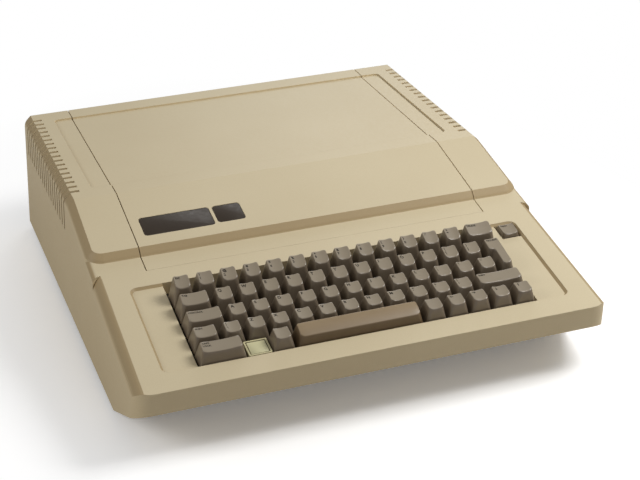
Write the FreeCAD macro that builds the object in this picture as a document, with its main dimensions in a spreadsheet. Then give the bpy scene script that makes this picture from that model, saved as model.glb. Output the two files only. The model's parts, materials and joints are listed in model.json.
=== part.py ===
import FreeCAD, Part
import math
import os
import re

import Sketcher
from FreeCAD import Placement, Rotation, Vector

# A desktop home computer of the early eighties: one wedge-shaped plastic case with the
# keyboard in its sloping front deck, a lift-off lid over the expansion slots, and the main
# board, power supply and speaker inside. X runs to the right, Y to the back and Z up.
# The origin is under the middle of the case, on the table. All lengths are millimetres.

SIZES = {
    # case outline, seen from the side
    "case_depth": 457.0,
    "case_height": 114.3,
    "edge_height": 5.9,
    "nose_top_height": 60.1,
    "nose_low_height": 39.9,
    "nose_lean": 4.0,
    "keel_setback": 78.0,
    "step_setback": 161.5,
    "step_base_drop": 23.55,
    "step_top_drop": 16.65,
    "step_lean": 5.5,
    "bend_setback": 243.8,
    # case outline, seen from the front
    "base_half_width": 195.6,
    "side_lean": 6.3,
    "rim_chamfer": 5.9,
    "rim_radius": 10.0,
    "step_corner_radius": 14.0,
    "nose_corner_radius": 15.0,
    "case_wall": 4.6,
    "overrun": 10.0,
    # long bevel down each side of the deck
    "deck_bevel_inset": 7.2,
    "deck_bevel_radius": 13.3,
    "deck_bevel_reach": 149.6,
    "deck_bevel_end_radius": 9.4,
    "deck_bevel_end_shift": 1.6,
    "deck_edge_radius": 5.0,
    # lid over the slots and the shallow tray on top
    "lid_side_margin": 42.5,
    "seam_gap": 0.8,
    "lid_front_gap": 0.1,
    "lid_front_setback": 143.7,
    "lid_lip_drop": 14.3,
    "lid_turn_setback": 210.0,
    "lid_floor_drop": 42.3,
    "lid_seat_width": 5.0,
    "lid_seat_depth": 2.2,
    "lid_seat_gap": 0.3,
    "tray_depth": 1.6,
    "tray_side_margin": 24.6,
    "tray_front_setback": 262.8,
    "tray_rear_margin": 20.6,
    "tray_corner_radius": 5.0,
    # cooling slots
    "vent_side_margin": 13.8,
    "vent_width": 3.8,
    "vent_front_setback": 261.0,
    "vent_rear_margin": 16.3,
    "vent_low_drop": 33.3,
    # two pockets for bare name plates on the slope of the lid
    "plate_pocket_depth": 0.8,
    "plate_pocket_corner": 3.0,
    "wide_pocket_margin": 8.1,
    "wide_pocket_width": 60.4,
    "wide_pocket_up": 13.3,
    "wide_pocket_length": 25.2,
    "narrow_pocket_margin": 71.1,
    "narrow_pocket_width": 24.2,
    "narrow_pocket_up": 14.7,
    "narrow_pocket_length": 23.6,
    # keyboard opening in the deck
    "well_side_margin": 50.0,
    "well_key_margin": 1.1875,
    "well_wall": 2.0,
    "well_front": 20.7,
    "well_spare_length": 11.05,
    "recess_side_margin": 22.8,
    "recess_depth": 2.0,
    "recess_corner_radius": 6.0,
    "recess_wall_run": 1.9,
    "reset_side_gap": 17.2,
    "reset_rear_gap": 11.0,
    "reset_hole_width": 17.2,
    "reset_hole_length": 18.2,
    "boss_width": 9.0,
    "boss_side_gap": 11.7,
    "boss_front": 30.0,
    "boss_rear_gap": 33.0,
    # keys
    "key_gap": 0.9,
    "keyboard_front": 20.9,
    "cap_skirt": 5.0,
    "cap_wall": 1.4,
    "cap_roof": 2.2,
    "cap_side_inset": 3.2,
    "cap_front_inset": 2.6,
    "cap_rear_inset": 2.9,
    "cap_corner": 1.2,
    "cap_blank_spare": 6.0,
    "dish_depth": 0.9,
    "bar_dish_depth": 0.1,
    "row_one_height": 13.3,
    "row_two_height": 10.8,
    "row_three_height": 9.2,
    "row_four_height": 9.0,
    "row_five_height": 9.7,
    "return_height": 10.0,
    "reset_height": 1.5,
    "reset_cap_width": 15.8,
    "reset_cap_length": 16.8,
    "reset_cap_inset": 1.4,
    "stem_width": 3.6,
    "stem_reach": 2.6,
    "stem_clearance": 0.3,
    # keyboard plate and switch bodies
    "plate_depth": 12.0,
    "plate_thickness": 1.5,
    "plate_gap": 0.3,
    "plate_left_reach": 18.7,
    "plate_right_reach": 30.7,
    "plate_front": 14.0,
    "plate_rear_reach": 4.0,
    "switch_spacing": 6.05,
    "reset_switch_width": 10.0,
    "lamp_side_gap": 0.75,
    "lamp_end_gap": 1.65,
    "lamp_plate_drop": 0.3,
    "lamp_rim": 1.3,
    "lamp_inset_depth": 0.6,
    # base plate and feet
    "base_thickness": 1.5,
    "base_inset": 2.0,
    "foot_radius": 8.0,
    "foot_top_radius": 9.5,
    "foot_side_margin": 30.6,
    "foot_front_setback": 100.0,
    "foot_rear_margin": 20.0,
    "standoff_radius": 3.5,
    "standoff_height": 6.0,
    # main board and what stands on it
    "board_supply_margin": 91.6,
    "board_side_margin": 19.6,
    "board_front_setback": 92.0,
    "board_rear_margin": 10.0,
    "board_thickness": 1.6,
    "slot_width": 9.0,
    "slot_height": 14.0,
    "slot_groove": 3.0,
    "slot_groove_depth": 9.0,
    "slot_side_margin": 18.0,
    "first_slot_across": 14.0,
    "chip_height": 4.0,
    "chip_first": 20.0,
    "narrow_chip_margin": 23.0,
    "wide_chip_margin": 36.0,
    "long_chip_margin": 12.0,
    "narrow_chip_width": 7.6,
    "narrow_chip_length": 19.5,
    "wide_chip_width": 14.0,
    "wide_chip_length": 32.0,
    "long_chip_width": 14.0,
    "long_chip_length": 52.0,
    # power supply
    "supply_side_margin": 15.6,
    "supply_width": 66.0,
    "supply_front_setback": 190.0,
    "supply_height": 62.0,
    "supply_edge": 2.0,
    "supply_pocket_gap": 0.5,
    "inlet_width": 28.0,
    "inlet_height": 20.0,
    "inlet_length": 22.0,
    "inlet_wall": 2.2,
    "inlet_cavity_depth": 15.0,
    "inlet_centre_height": 24.0,
    "pin_width": 2.0,
    "pin_height": 4.0,
    "pin_spread": 7.0,
    "rocker_width": 13.0,
    "rocker_length": 24.0,
    "rocker_end_reach": 4.0,
    "rocker_waist_reach": 2.2,
    "rocker_back_reach": 2.0,
    "rocker_hub_radius": 2.0,
    "rocker_hub_reach": 1.2,
    "rocker_hub_gap": 0.3,
    "rocker_centre_height": 50.5,
    "rocker_pivot_margin": 10.0,
    "rocker_well_length": 26.4,
    "rocker_well_depth": 8.2,
    # rear panel and its openings
    "panel_thickness": 1.6,
    "panel_side_margin": 10.8,
    "panel_top_drop": 15.3,
    "supply_window_margin": 4.0,
    "rear_opening_margin": 15.6,
    "rear_opening_drop": 19.3,
    "port_width": 15.0,
    "port_top_drop": 26.3,
    "port_low_height": 46.0,
    "port_clearance": 0.3,
    "cover_flange": 1.2,
    "small_port_spacing": 8.0,
    "small_port_height": 11.0,
    "small_port_low_height": 16.5,
    "small_port_first": 20.0,
    "small_port_margin": 20.0,
    "jack_radius": 5.0,
    "jack_bore_radius": 3.2,
    "jack_length": 16.0,
    "jack_bore_depth": 11.0,
    "jack_body_width": 13.0,
    "jack_body_length": 12.0,
    "jack_body_height": 14.0,
    "jack_height": 22.0,
    "jack_side_margin": 12.0,
    "jack_pitch": 20.0,
    "jack_stand_out": 1.0,
    # speaker
    "speaker_radius": 28.5,
    "speaker_height": 17.0,
    "speaker_side_margin": 59.6,
    "speaker_setback": 118.0,
    "speaker_basket_radius": 21.0,
    "speaker_magnet_radius": 14.0,
    "speaker_rim_height": 4.0,
}

KEYBOARD_UNITS = 14.5
ROW_COUNT = 5
VENT_COUNT = 18
SLOT_COUNT = 7
PORT_COUNT = 7
SMALL_PORT_COUNT = 5
JACK_COUNT = 3
NARROW_CHIP_COUNT = 8
WIDE_CHIP_COUNT = 6

# places of the board's pieces as shares of its length
SLOT_REAR_SHARE = 0.8958
SLOT_LENGTH_SHARE = 0.231
HELPER_REAR_SHARE = 0.5859
CHIP_ROW_SHARE = 0.0282
CHIP_STEP_SHARE = 0.0789
PROGRAM_ROW_SHARE = 0.2817
LOGIC_ROW_SHARE = 0.4394

# sizes that follow from others, as cells with a formula
TIED = {
    "crown_half_width": "base_half_width - side_lean",
    "step_base_height": "case_height - step_base_drop",
    "step_top_height": "case_height - step_top_drop",
    "lid_half_width": "crown_half_width - lid_side_margin",
    "lid_lip_height": "case_height - lid_lip_drop",
    "lid_floor_height": "case_height - lid_floor_drop",
    "tray_half_width": "crown_half_width - tray_side_margin",
    "tray_rear_setback": "case_depth - tray_rear_margin",
    "vent_inner": "crown_half_width - vent_side_margin",
    "vent_rear_setback": "case_depth - vent_rear_margin",
    "vent_pitch": "(vent_rear_setback - vent_front_setback) / %d" % (VENT_COUNT - 1),
    "vent_low_height": "case_height - vent_low_drop",
    "wide_pocket_left": "lid_half_width - wide_pocket_margin",
    "narrow_pocket_left": "lid_half_width - narrow_pocket_margin",
    "well_half_width": "crown_half_width - well_side_margin",
    "key_pitch": "2 * (well_half_width - well_key_margin) / %s" % KEYBOARD_UNITS,
    "well_rear": "well_front + %d * key_pitch + well_spare_length" % ROW_COUNT,
    "recess_half_width": "crown_half_width - recess_side_margin",
    "reset_across": "well_half_width + reset_side_gap",
    "reset_up": "well_rear - reset_rear_gap",
    "boss_across": "well_half_width + boss_side_gap",
    "boss_rear": "well_rear - boss_rear_gap",
    "plate_left": "well_half_width + plate_left_reach",
    "plate_right": "well_half_width + plate_right_reach",
    "plate_rear": "well_rear + plate_rear_reach",
    "switch_width": "key_pitch - switch_spacing",
    "lamp_plate_width": "key_pitch - lamp_side_gap",
    "lamp_plate_length": "key_pitch - lamp_end_gap",
    "foot_across": "base_half_width - foot_side_margin",
    "foot_rear_setback": "case_depth - foot_rear_margin",
    "board_left": "base_half_width - board_supply_margin",
    "board_right": "base_half_width - board_side_margin",
    "board_rear_setback": "case_depth - board_rear_margin",
    "board_length": "board_rear_setback - board_front_setback",
    "slot_pitch": "(board_right - slot_side_margin - first_slot_across) / %d" % (SLOT_COUNT - 1),
    "slot_length": "%s * board_length" % SLOT_LENGTH_SHARE,
    "slot_rear_setback": "board_front_setback + %s * board_length" % SLOT_REAR_SHARE,
    "helper_slot_setback": "board_front_setback + %s * board_length" % HELPER_REAR_SHARE,
    "chip_column_pitch": "(board_right - narrow_chip_margin - chip_first) / %d" % (
        NARROW_CHIP_COUNT - 1),
    "wide_chip_pitch": "(board_right - wide_chip_margin - chip_first) / %d" % (
        WIDE_CHIP_COUNT - 1),
    "chip_row_setback": "board_front_setback + %s * board_length" % CHIP_ROW_SHARE,
    "chip_row_pitch": "%s * board_length" % CHIP_STEP_SHARE,
    "program_row_setback": "board_front_setback + %s * board_length" % PROGRAM_ROW_SHARE,
    "logic_row_setback": "board_front_setback + %s * board_length" % LOGIC_ROW_SHARE,
    "supply_left": "base_half_width - supply_side_margin",
    "rocker_pivot_setback": "case_depth - rocker_pivot_margin",
    "panel_half_width": "base_half_width - panel_side_margin",
    "panel_top_height": "case_height - panel_top_drop",
    "rear_opening_half_width": "base_half_width - rear_opening_margin",
    "rear_opening_top": "case_height - rear_opening_drop",
    "port_height": "case_height - port_low_height - port_top_drop",
    "small_port_pitch": "(board_right - small_port_margin - small_port_first) / %d" % (
        SMALL_PORT_COUNT - 1),
    "small_port_width": "small_port_pitch - small_port_spacing",
    "jack_first": "board_left - jack_side_margin",
    "speaker_across": "base_half_width - speaker_side_margin",
}

# top tilt in degrees and the cell that holds the height of the front top edge, row by row
# from the back
ROW_TILTS = {1: 14.0, 2: 9.0, 3: 4.0, 4: 1.0, 5: 1.0}
ROW_HEIGHTS = {
    1: "row_one_height",
    2: "row_two_height",
    3: "row_three_height",
    4: "row_four_height",
    5: "row_five_height",
}
GROUPED_KEYS = "number_and_symbol_keys"
GAP = None

ROWS = {
    1: [("escape_key", 1)] + [(GROUPED_KEYS, 1)] * 12 + [("delete_key", 1.5)],
    2: [("tab_key", 1.5)] + [("key_" + letter, 1) for letter in "qwertyuiop"]
       + [(GROUPED_KEYS, 1)] * 2,
    3: [("control_key", 1.75)] + [("key_" + letter, 1) for letter in "asdfghjkl"]
       + [(GROUPED_KEYS, 1)] * 3,
    4: [("left_shift_key", 1.25), (GROUPED_KEYS, 1)]
       + [("key_" + letter, 1) for letter in "zxcvbnm"]
       + [(GROUPED_KEYS, 1)] * 3 + [("right_shift_key", 2.25)],
    5: [("caps_lock_key", 2), (GAP, 1), ("left_function_key", 1), ("space_bar", 5.5),
        ("right_function_key", 1), ("left_arrow_key", 1), ("right_arrow_key", 1),
        ("down_arrow_key", 1), ("up_arrow_key", 1)],
}
RETURN_TOP_UNITS = 1.0
RETURN_STEM_UNITS = 0.75

document = FreeCAD.newDocument("home_computer")
sheet = document.addObject("Spreadsheet::Sheet", "sizes")
lines = [(alias, str(length)) for alias, length in SIZES.items()]
lines += [(alias, "=" + formula) for alias, formula in TIED.items()]
for line, (alias, content) in enumerate(lines, start=1):
    sheet.set("A%d" % line, alias)
    sheet.set("B%d" % line, content)
    sheet.setAlias("B%d" % line, alias)
document.recompute()

X_AXIS = Vector(1, 0, 0)
Y_AXIS = Vector(0, 1, 0)
Z_AXIS = Vector(0, 0, 1)
SKETCH_PLANES = {
    "top": Rotation(),
    "front": Rotation(X_AXIS, 90),
    "side": Rotation(Vector(1, 1, 1), 120),
}
parts = []


def size(alias):
    return float(sheet.get(alias))


def cells(text):
    """Turn the names of sizes in an expression into references to their cells."""
    def reference(match):
        word = match.group()
        return "sizes." + word if word in SIZES or word in TIED else word
    return re.sub(r"[a-z_]+", reference, text)


def bind(item, **expressions):
    for name, text in expressions.items():
        item.setExpression(name, cells(text))
    return item


def place(item, across="0", back="0", up="0"):
    """Bind the three coordinates of an object's place to the sheet."""
    item.setExpression("Placement.Base.x", cells(across))
    item.setExpression("Placement.Base.y", cells(back))
    item.setExpression("Placement.Base.z", cells(up))
    return item


def box(name, across, back, up, low):
    """A block of three lengths, with its lowest corner at low."""
    block = document.addObject("Part::Box", name)
    bind(block, Length=across, Width=back, Height=up)
    return place(block, *low)


def cylinder(name, radius, height, low=("0", "0", "0"), rotation=Rotation()):
    item = document.addObject("Part::Cylinder", name)
    bind(item, Radius=radius, Height=height)
    item.Placement = Placement(Vector(), rotation)
    return place(item, *low)


def prism(name, sides, radius, height, low=("0", "0", "0"), rotation=Rotation()):
    item = document.addObject("Part::Prism", name)
    item.Polygon = sides
    bind(item, Circumradius=radius, Height=height)
    item.Placement = Placement(Vector(), rotation)
    return place(item, *low)


def draw(sketch, corners):
    """Close a polygon through corners, each held by two distances bound to the sheet."""
    count = len(corners)
    start_radius = size("case_height")
    turns = [2 * math.pi * i / count for i in range(count)]
    start = [Vector(start_radius * math.cos(a), start_radius * math.sin(a), 0) for a in turns]
    first = sketch.GeometryCount
    for i in range(count):
        sketch.addGeometry(Part.LineSegment(start[i], start[(i + 1) % count]))
    for i in range(count):
        sketch.addConstraint(
            Sketcher.Constraint("Coincident", first + i, 2, first + (i + 1) % count, 1)
        )
    for i, (across, up) in enumerate(corners):
        for kind, text, value in (("DistanceX", across, start[i].x), ("DistanceY", up, start[i].y)):
            number = sketch.addConstraint(Sketcher.Constraint(kind, first + i, 1, value))
            sketch.setExpression("Constraints[%d]" % number, cells(text))


def outline(name, plane, corners):
    """A sketch on its own, in one of the three main planes."""
    sketch = document.addObject("Sketcher::SketchObject", name)
    sketch.Placement = Placement(Vector(), SKETCH_PLANES[plane])
    draw(sketch, corners)
    return sketch


def extrusion(name, sketch, length):
    """Extrude a sketch evenly to both sides of its plane."""
    item = document.addObject("Part::Extrusion", name)
    item.Base = sketch
    item.DirMode = "Normal"
    item.Solid = True
    item.Symmetric = True
    return bind(item, LengthFwd=length)


def common(name, first, second):
    item = document.addObject("Part::Common", name)
    item.Base = first
    item.Tool = second
    return item


def cut(name, base, *tools):
    """Take the tools off the base one after another."""
    for number, tool in enumerate(tools, start=1):
        item = document.addObject("Part::Cut", name if number == len(tools) else name + "_cut")
        item.Base = base
        item.Tool = tool
        base = item
    return base


def fuse(name, *pieces):
    item = document.addObject("Part::MultiFuse", name)
    item.Shapes = list(pieces)
    item.Refine = True
    return item


def group(name, pieces):
    """Pieces that stay separate solids in one node."""
    item = document.addObject("Part::Compound", name)
    item.Links = list(pieces)
    return item


def mirrored(name, source):
    item = document.addObject("Part::Mirroring", name)
    item.Source = source
    item.Normal = X_AXIS
    return item


def finish(item, label):
    """Mark an object as a finished sub-part, under the name of its node."""
    item.Label = label
    parts.append(item)
    return item


def edge_numbers(item, test):
    document.recompute()
    return [i for i, edge in enumerate(item.Shape.Edges, start=1) if test(edge)]


def rounded(name, item, radius, test):
    result = document.addObject("Part::Fillet", name)
    result.Base = item
    result.Edges = [(i, radius, radius) for i in edge_numbers(item, test)]
    return result


def chamfered(name, item, length, test):
    result = document.addObject("Part::Chamfer", name)
    result.Base = item
    result.Edges = [(i, length, length) for i in edge_numbers(item, test)]
    return result


def rises(edge, share=0.5):
    """True for an edge that climbs more than it runs."""
    low, high = edge.BoundBox.ZMin, edge.BoundBox.ZMax
    return high - low > share * edge.Length


# Places that follow from the sizes

deck_angle = math.degrees(math.atan2(
    size("step_base_height") - size("nose_top_height"), size("step_setback")))
deck_frame = Placement(
    Vector(0, -size("case_depth") / 2, size("nose_top_height")), Rotation(X_AXIS, deck_angle))
flare = (size("base_half_width") - size("crown_half_width")) / (
    size("case_height") - size("edge_height"))


def half_width(height):
    """Half the outer width of the flared case at a height above the table."""
    return size("base_half_width") - flare * (height - size("edge_height"))


def on_deck(item, across=0.0, along=0.0, above=0.0, rotation=Rotation()):
    """Place an object by its distance across, up along and above the sloping deck."""
    item.Placement = deck_frame.multiply(Placement(Vector(across, along, above), rotation))
    return item


def deck_box(name, width, length, height, across, along, above):
    """A block on the deck: centred across, from along towards the back, from above upwards."""
    block = document.addObject("Part::Box", name)
    bind(block, Length=width, Width=length, Height=height)
    document.recompute()
    return on_deck(block, across - block.Length.Value / 2, along, above)


# Case forms

NOSE = "-case_depth / 2"
REAR = "case_depth / 2"
STEP = NOSE + " + step_setback"
BEND = NOSE + " + bend_setback"
SLOPE_RATIO = ("(case_height - step_top_height)"
               " / (bend_setback - step_setback - step_lean)")
DECK_RATIO = "(step_base_height - nose_top_height) / step_setback"


def section(name, inset, low):
    """The flared width of the case, with the inset taken off each side."""
    spread = "(base_half_width - crown_half_width) / (case_height - edge_height)"
    foot = "base_half_width - %s + %s * (edge_height - (%s))" % (inset, spread, low)
    crown = "crown_half_width - " + inset
    corners = [
        ("-(%s)" % foot, low), (foot, low),
        (crown, "case_height"), ("-(%s)" % crown, "case_height"),
    ]
    return extrusion(name, outline(name + "_outline", "front", corners), "2 * case_depth")


def upper_block(name, inset, low):
    """The raised rear half: flat top, slope, and a front with rounded corners."""
    front = STEP + " + " + inset
    top = "case_height - " + inset
    front_top = "step_top_height - step_lean * %s - %s" % (SLOPE_RATIO, inset)
    corners = [
        (front, low), (REAR + " - " + inset, low), (REAR + " - " + inset, top),
        (BEND, top), (front, front_top),
    ]
    side = extrusion(name + "_side", outline(name + "_outline", "side", corners),
                     "3 * base_half_width")
    block = common(name + "_sharp", side, section(name + "_section", inset, low))
    document.recompute()
    front_place = -size("case_depth") / 2 + size("step_setback")
    inner = size("case_wall") if inset != "0" else 0.0
    radius = size("step_corner_radius") - inner
    return rounded(name, block, radius, lambda edge: rises(edge)
                   and edge.BoundBox.YMax < front_place + inner + radius / 2)


def deck_bevel(name, shift):
    """The tool for the rounded bevel on the right of the deck, from its crease down the side."""
    lean = math.atan(flare)
    slope = math.radians(deck_angle)
    plan_turn = math.atan(flare * math.sin(slope))
    section_turn = math.atan2(
        math.sin(lean) * math.cos(slope),
        math.cos(lean) * math.cos(plan_turn) + math.sin(lean) * math.sin(slope) * math.sin(plan_turn))
    radius = size("deck_bevel_radius")
    width = size("deck_bevel_inset") * math.cos(lean)
    drop = math.sqrt(radius ** 2 - (radius - width) ** 2)
    length = 2 * (size("deck_bevel_reach") + size("overrun"))
    block = document.addObject("Part::Box", name + "_block")
    block.Length = width + size("overrun")
    block.Width = length
    block.Height = drop + size("overrun")
    block.Placement.Base = Vector(0, -length / 2, -drop)
    kept = document.addObject("Part::Cylinder", name + "_round")
    kept.Radius = radius
    kept.Height = length
    kept.Placement = Placement(
        Vector(width - radius, -length / 2, -drop), Rotation(X_AXIS, -90))
    curved = cut(name + "_curve", block, kept)
    curved.Placement.Rotation = Rotation(Z_AXIS, math.degrees(plan_turn)).multiply(
        Rotation(Y_AXIS, -math.degrees(section_turn)))
    edge = half_width(size("nose_top_height")) - size("deck_bevel_inset") - shift
    end_radius = size("deck_bevel_end_radius")
    run = size("deck_bevel_reach") - end_radius
    track = document.addObject("Part::Box", name + "_track")
    bind(track, Length="6 * overrun", Height="6 * overrun")
    track.Width = length / 2 + run
    track.Placement.Base = Vector(-3 * size("overrun"), -length / 2, -3 * size("overrun"))
    end = document.addObject("Part::Cylinder", name + "_end")
    bind(end, Radius="deck_bevel_end_radius", Height="6 * overrun")
    end.Placement.Base = Vector(-size("deck_bevel_end_shift"), run, -3 * size("overrun"))
    return on_deck(common(name, curved, fuse(name + "_reach", track, end)), edge, 0.0, -shift)


def lower_block(name, inset, low):
    """The wedge that carries the deck, with its bevels and its rounded nose."""
    nose = NOSE + " + " + inset
    rear = STEP + " + step_corner_radius + rim_chamfer"
    rear_top = "nose_top_height + (step_setback + step_corner_radius + rim_chamfer) * (%s) - %s" % (
        DECK_RATIO, inset)
    corners = [
        (nose, "nose_top_height - " + inset), (nose + " + nose_lean", "nose_low_height + " + inset),
        (NOSE + " + keel_setback + " + inset, "edge_height + " + inset),
        (NOSE + " + keel_setback + " + inset, low),
        (rear, low), (rear, rear_top),
    ]
    if inset == "0":
        del corners[3]
    side = extrusion(name + "_side", outline(name + "_outline", "side", corners),
                     "3 * base_half_width")
    block = common(name + "_sharp", side, section(name + "_section", inset, low))
    shift = size("case_wall") if inset != "0" else 0.0
    radius = size("nose_corner_radius") - shift
    nose_limit = -size("case_depth") / 2 + shift + size("nose_lean") + radius / 2

    def at_nose(edge):
        outside = min(abs(edge.BoundBox.XMin), abs(edge.BoundBox.XMax)) > radius
        return rises(edge, 0.3) and edge.BoundBox.YMax < nose_limit and outside
    bevel = deck_bevel(name + "_bevel", shift)
    bevels = (bevel, mirrored(name + "_left_bevel", bevel))

    nosed = rounded(name + "_rounded", block, radius, at_nose)
    if inset != "0":
        return cut(name, nosed, *bevels)

    def behind_bevel(edge):
        bounds = edge.BoundBox
        beside = abs(edge.CenterOfMass.x) > size("crown_half_width")
        return beside and bounds.YMax - bounds.YMin > 2 * size("overrun") and (
            bounds.ZMin > size("nose_top_height"))
    return rounded(name, cut(name + "_bevelled", nosed, *bevels), size("deck_edge_radius"),
                   behind_bevel)


def case_form():
    upper = upper_block("upper_form", "0", "edge_height")
    document.recompute()
    step_front = -size("case_depth") / 2 + size("step_setback")
    rear = size("case_depth") / 2
    top = size("step_top_height") - size("step_lean")

    def on_rim(edge):
        bounds = edge.BoundBox
        in_rear_face = bounds.YMin > rear - size("overrun")
        inside = abs(edge.CenterOfMass.x) < size("crown_half_width") / 2
        crosswise = bounds.YMax - bounds.YMin < size("overrun") and inside
        at_front = bounds.YMax < step_front + size("overrun")
        return bounds.ZMin > top - size("step_lean") and not in_rear_face and (
            not crosswise or at_front)

    def under_rim(edge):
        beside = abs(edge.CenterOfMass.x) > size("crown_half_width")
        return beside and edge.BoundBox.ZMin > size("step_base_height") and not rises(edge)
    upper = chamfered("upper_rimmed", upper, size("rim_chamfer"), on_rim)
    upper = rounded("upper_softened", upper, size("rim_radius"), under_rim)
    return fuse("case_form", upper, lower_block("lower_form", "0", "edge_height"))


def case_inside():
    low = "edge_height - overrun"
    return fuse("case_inside", upper_block("upper_inside", "case_wall", low),
                lower_block("lower_inside", "case_wall", low))


def zone(name, half, front, rear, low):
    """A block centred across the case, open upwards, used to part the lid from the case."""
    return box(name, "2 * (%s)" % half, "(%s) - (%s)" % (rear, front), "case_height",
               ("-(%s)" % half, front, low))


def deck_opening(name, half, length, height, along, above, corner=None):
    opening = deck_box(name, half, length, height, 0.0, along, above)
    if corner is None:
        return opening
    return rounded(name + "_rounded", opening, corner, lambda edge: rises(edge, 0.9))


shell_outer = case_form()
shell_inner = case_inside()

rear_opening = box(
    "rear_opening", "2 * rear_opening_half_width", "2 * case_wall + overrun",
    "rear_opening_top + overrun", ("-rear_opening_half_width", REAR + " - 2 * case_wall", "-overrun"))
tray = box(
    "tray_block", "2 * tray_half_width", "tray_rear_setback - tray_front_setback", "overrun",
    ("-tray_half_width", NOSE + " + tray_front_setback", "case_height - tray_depth"))
tray = rounded("tray_opening", tray, size("tray_corner_radius"), lambda edge: rises(edge, 0.9))

vent_slots = []
for number in range(VENT_COUNT):
    back = NOSE + " + vent_rear_setback - vent_width / 2 - %d * vent_pitch" % number
    for side, low in (("left", "-vent_inner - 3 * overrun"), ("right", "vent_inner")):
        vent_slots.append(box("%s_vent_%02d" % (side, number + 1), "3 * overrun", "vent_width",
                              "case_height", (low, back, "vent_low_height")))
vents = group("vent_slots", vent_slots)



def at_foot(edge):
    """True for the edges round the lower end of a block on the deck."""
    low = deck_frame.multVec(Vector(0, 0, size("recess_depth") / 2 - size("recess_depth")))
    normal = deck_frame.Rotation.multVec(Z_AXIS)
    return all((vertex.Point - low).dot(normal) < 0 for vertex in edge.Vertexes)


recess = deck_opening(
    "recess", "2 * recess_half_width", "well_rear - well_front", "recess_depth + overrun",
    size("well_front"), -size("recess_depth"), size("recess_corner_radius"))
recess = chamfered("recess_sloped", recess, size("recess_wall_run"), at_foot)
well = deck_opening(
    "key_well", "2 * well_half_width", "well_rear - well_front", "3 * overrun",
    size("well_front"), -2 * size("overrun"))
reset_hole = deck_box(
    "reset_hole", "reset_hole_width", "reset_hole_length", "3 * overrun", size("reset_across"),
    size("reset_up") - size("reset_hole_length") / 2, -2 * size("overrun"))
shell = cut("shell", shell_outer, shell_inner, rear_opening, tray, vents, recess, well, reset_hole)

LID_FRONT = NOSE + " + lid_front_setback"
LID_TURN = NOSE + " + lid_turn_setback"
BEHIND = REAR + " + overrun"
lid_zone = fuse(
    "lid_zone",
    zone("lid_front_zone", "lid_half_width", LID_FRONT, LID_TURN, "lid_floor_height"),
    zone("lid_rear_zone", "lid_half_width", LID_TURN, BEHIND, "lid_lip_height"))
WIDE_HALF = "lid_half_width + seam_gap"
lid_opening = fuse(
    "lid_opening",
    zone("front_opening_zone", WIDE_HALF, LID_FRONT + " - lid_front_gap", LID_TURN,
         "lid_floor_height - seam_gap"),
    zone("rear_opening_zone", WIDE_HALF, LID_TURN, BEHIND, "lid_lip_height - seam_gap"))


def sunk(name, source, depth):
    """A copy of a form, lowered by a depth."""
    copy = group(name, [source])
    return place(copy, up="-(%s)" % depth)


SEAT_REAR = REAR + " - case_wall - seam_gap"
seat_strips = [
    box("%s_seat_zone" % side, "2 * lid_seat_width", "(%s) - (%s)" % (SEAT_REAR, LID_FRONT),
        "case_height", (low, LID_FRONT, "lid_floor_height"))
    for side, low in (("left", "-lid_half_width - lid_seat_width"),
                      ("right", "lid_half_width - lid_seat_width"))
]
front_strip = box(
    "front_seat_zone", "2 * (lid_half_width + lid_seat_width)", "2 * lid_seat_width", "case_height",
    ("-lid_half_width - lid_seat_width", LID_FRONT + " - lid_seat_width", "lid_floor_height"))
seat_zone = fuse("seat_zone", front_strip, *seat_strips)
seat_block = common("seat_block", shell_inner, seat_zone)
seat_floor = sunk("seat_floor", shell_inner, "lid_seat_depth + lid_seat_gap")
seat_relief = common(
    "seat_relief", lid_opening,
    cut("seat_relief_layer", common("seat_relief_block", shell_inner, seat_zone),
        sunk("seat_relief_floor", shell_inner, "lid_seat_gap")))
seats = cut("lid_seats", seat_block, seat_floor, seat_relief)

bosses = [
    deck_box("keyboard_boss_%d" % number, "boss_width", "boss_width",
             "plate_depth - case_wall + recess_depth / 4", across,
             along - size("boss_width") / 2, -size("plate_depth"))
    for number, (across, along) in enumerate((
        (-size("boss_across"), size("boss_front")), (-size("boss_across"), size("boss_rear")),
        (size("boss_across"), size("boss_front")), (size("boss_across"), size("boss_rear")),
    ), start=1)
]
well_skirt = cut(
    "well_skirt",
    deck_box("well_skirt_block", "2 * (well_half_width + well_wall)",
             "well_rear - well_front + 2 * well_wall", "plate_depth - plate_gap - recess_depth",
             0.0, size("well_front") - size("well_wall"), size("plate_gap") - size("plate_depth")),
    well)
reset_skirt = cut(
    "reset_skirt",
    deck_box("reset_skirt_block", "reset_hole_width + 2 * well_wall",
             "reset_hole_length + 2 * well_wall", "plate_depth - plate_gap - recess_depth",
             size("reset_across"),
             size("reset_up") - size("reset_hole_length") / 2 - size("well_wall"),
             size("plate_gap") - size("plate_depth")),
    reset_hole)
finish(fuse("top_case", cut("case_around_lid", shell, lid_opening), seats, well_skirt, reset_skirt,
            *bosses), "top_case")
slope_angle = math.degrees(math.atan2(
    size("case_height") - size("step_top_height"),
    size("bend_setback") - size("step_setback") - size("step_lean")))
slope_foot = Vector(
    0, -size("case_depth") / 2 + size("step_setback") + size("step_lean"), size("step_top_height"))
slope_frame = Placement(slope_foot, Rotation(X_AXIS, slope_angle))
pockets = []
for kind in ("wide", "narrow"):
    block = document.addObject("Part::Box", kind + "_pocket_block")
    bind(block, Length=kind + "_pocket_width", Width=kind + "_pocket_length",
         Height="plate_pocket_depth + overrun")
    low = Vector(-size(kind + "_pocket_left"), size(kind + "_pocket_up"),
                 -size("plate_pocket_depth"))
    block.Placement = slope_frame.multiply(Placement(low, Rotation()))
    pockets.append(rounded(kind + "_pocket", block, size("plate_pocket_corner"),
                           lambda edge: rises(edge, 0.9)))
finish(cut("lid", common("lid_shell", shell, lid_zone), *pockets), "lid")


# Keys


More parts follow.
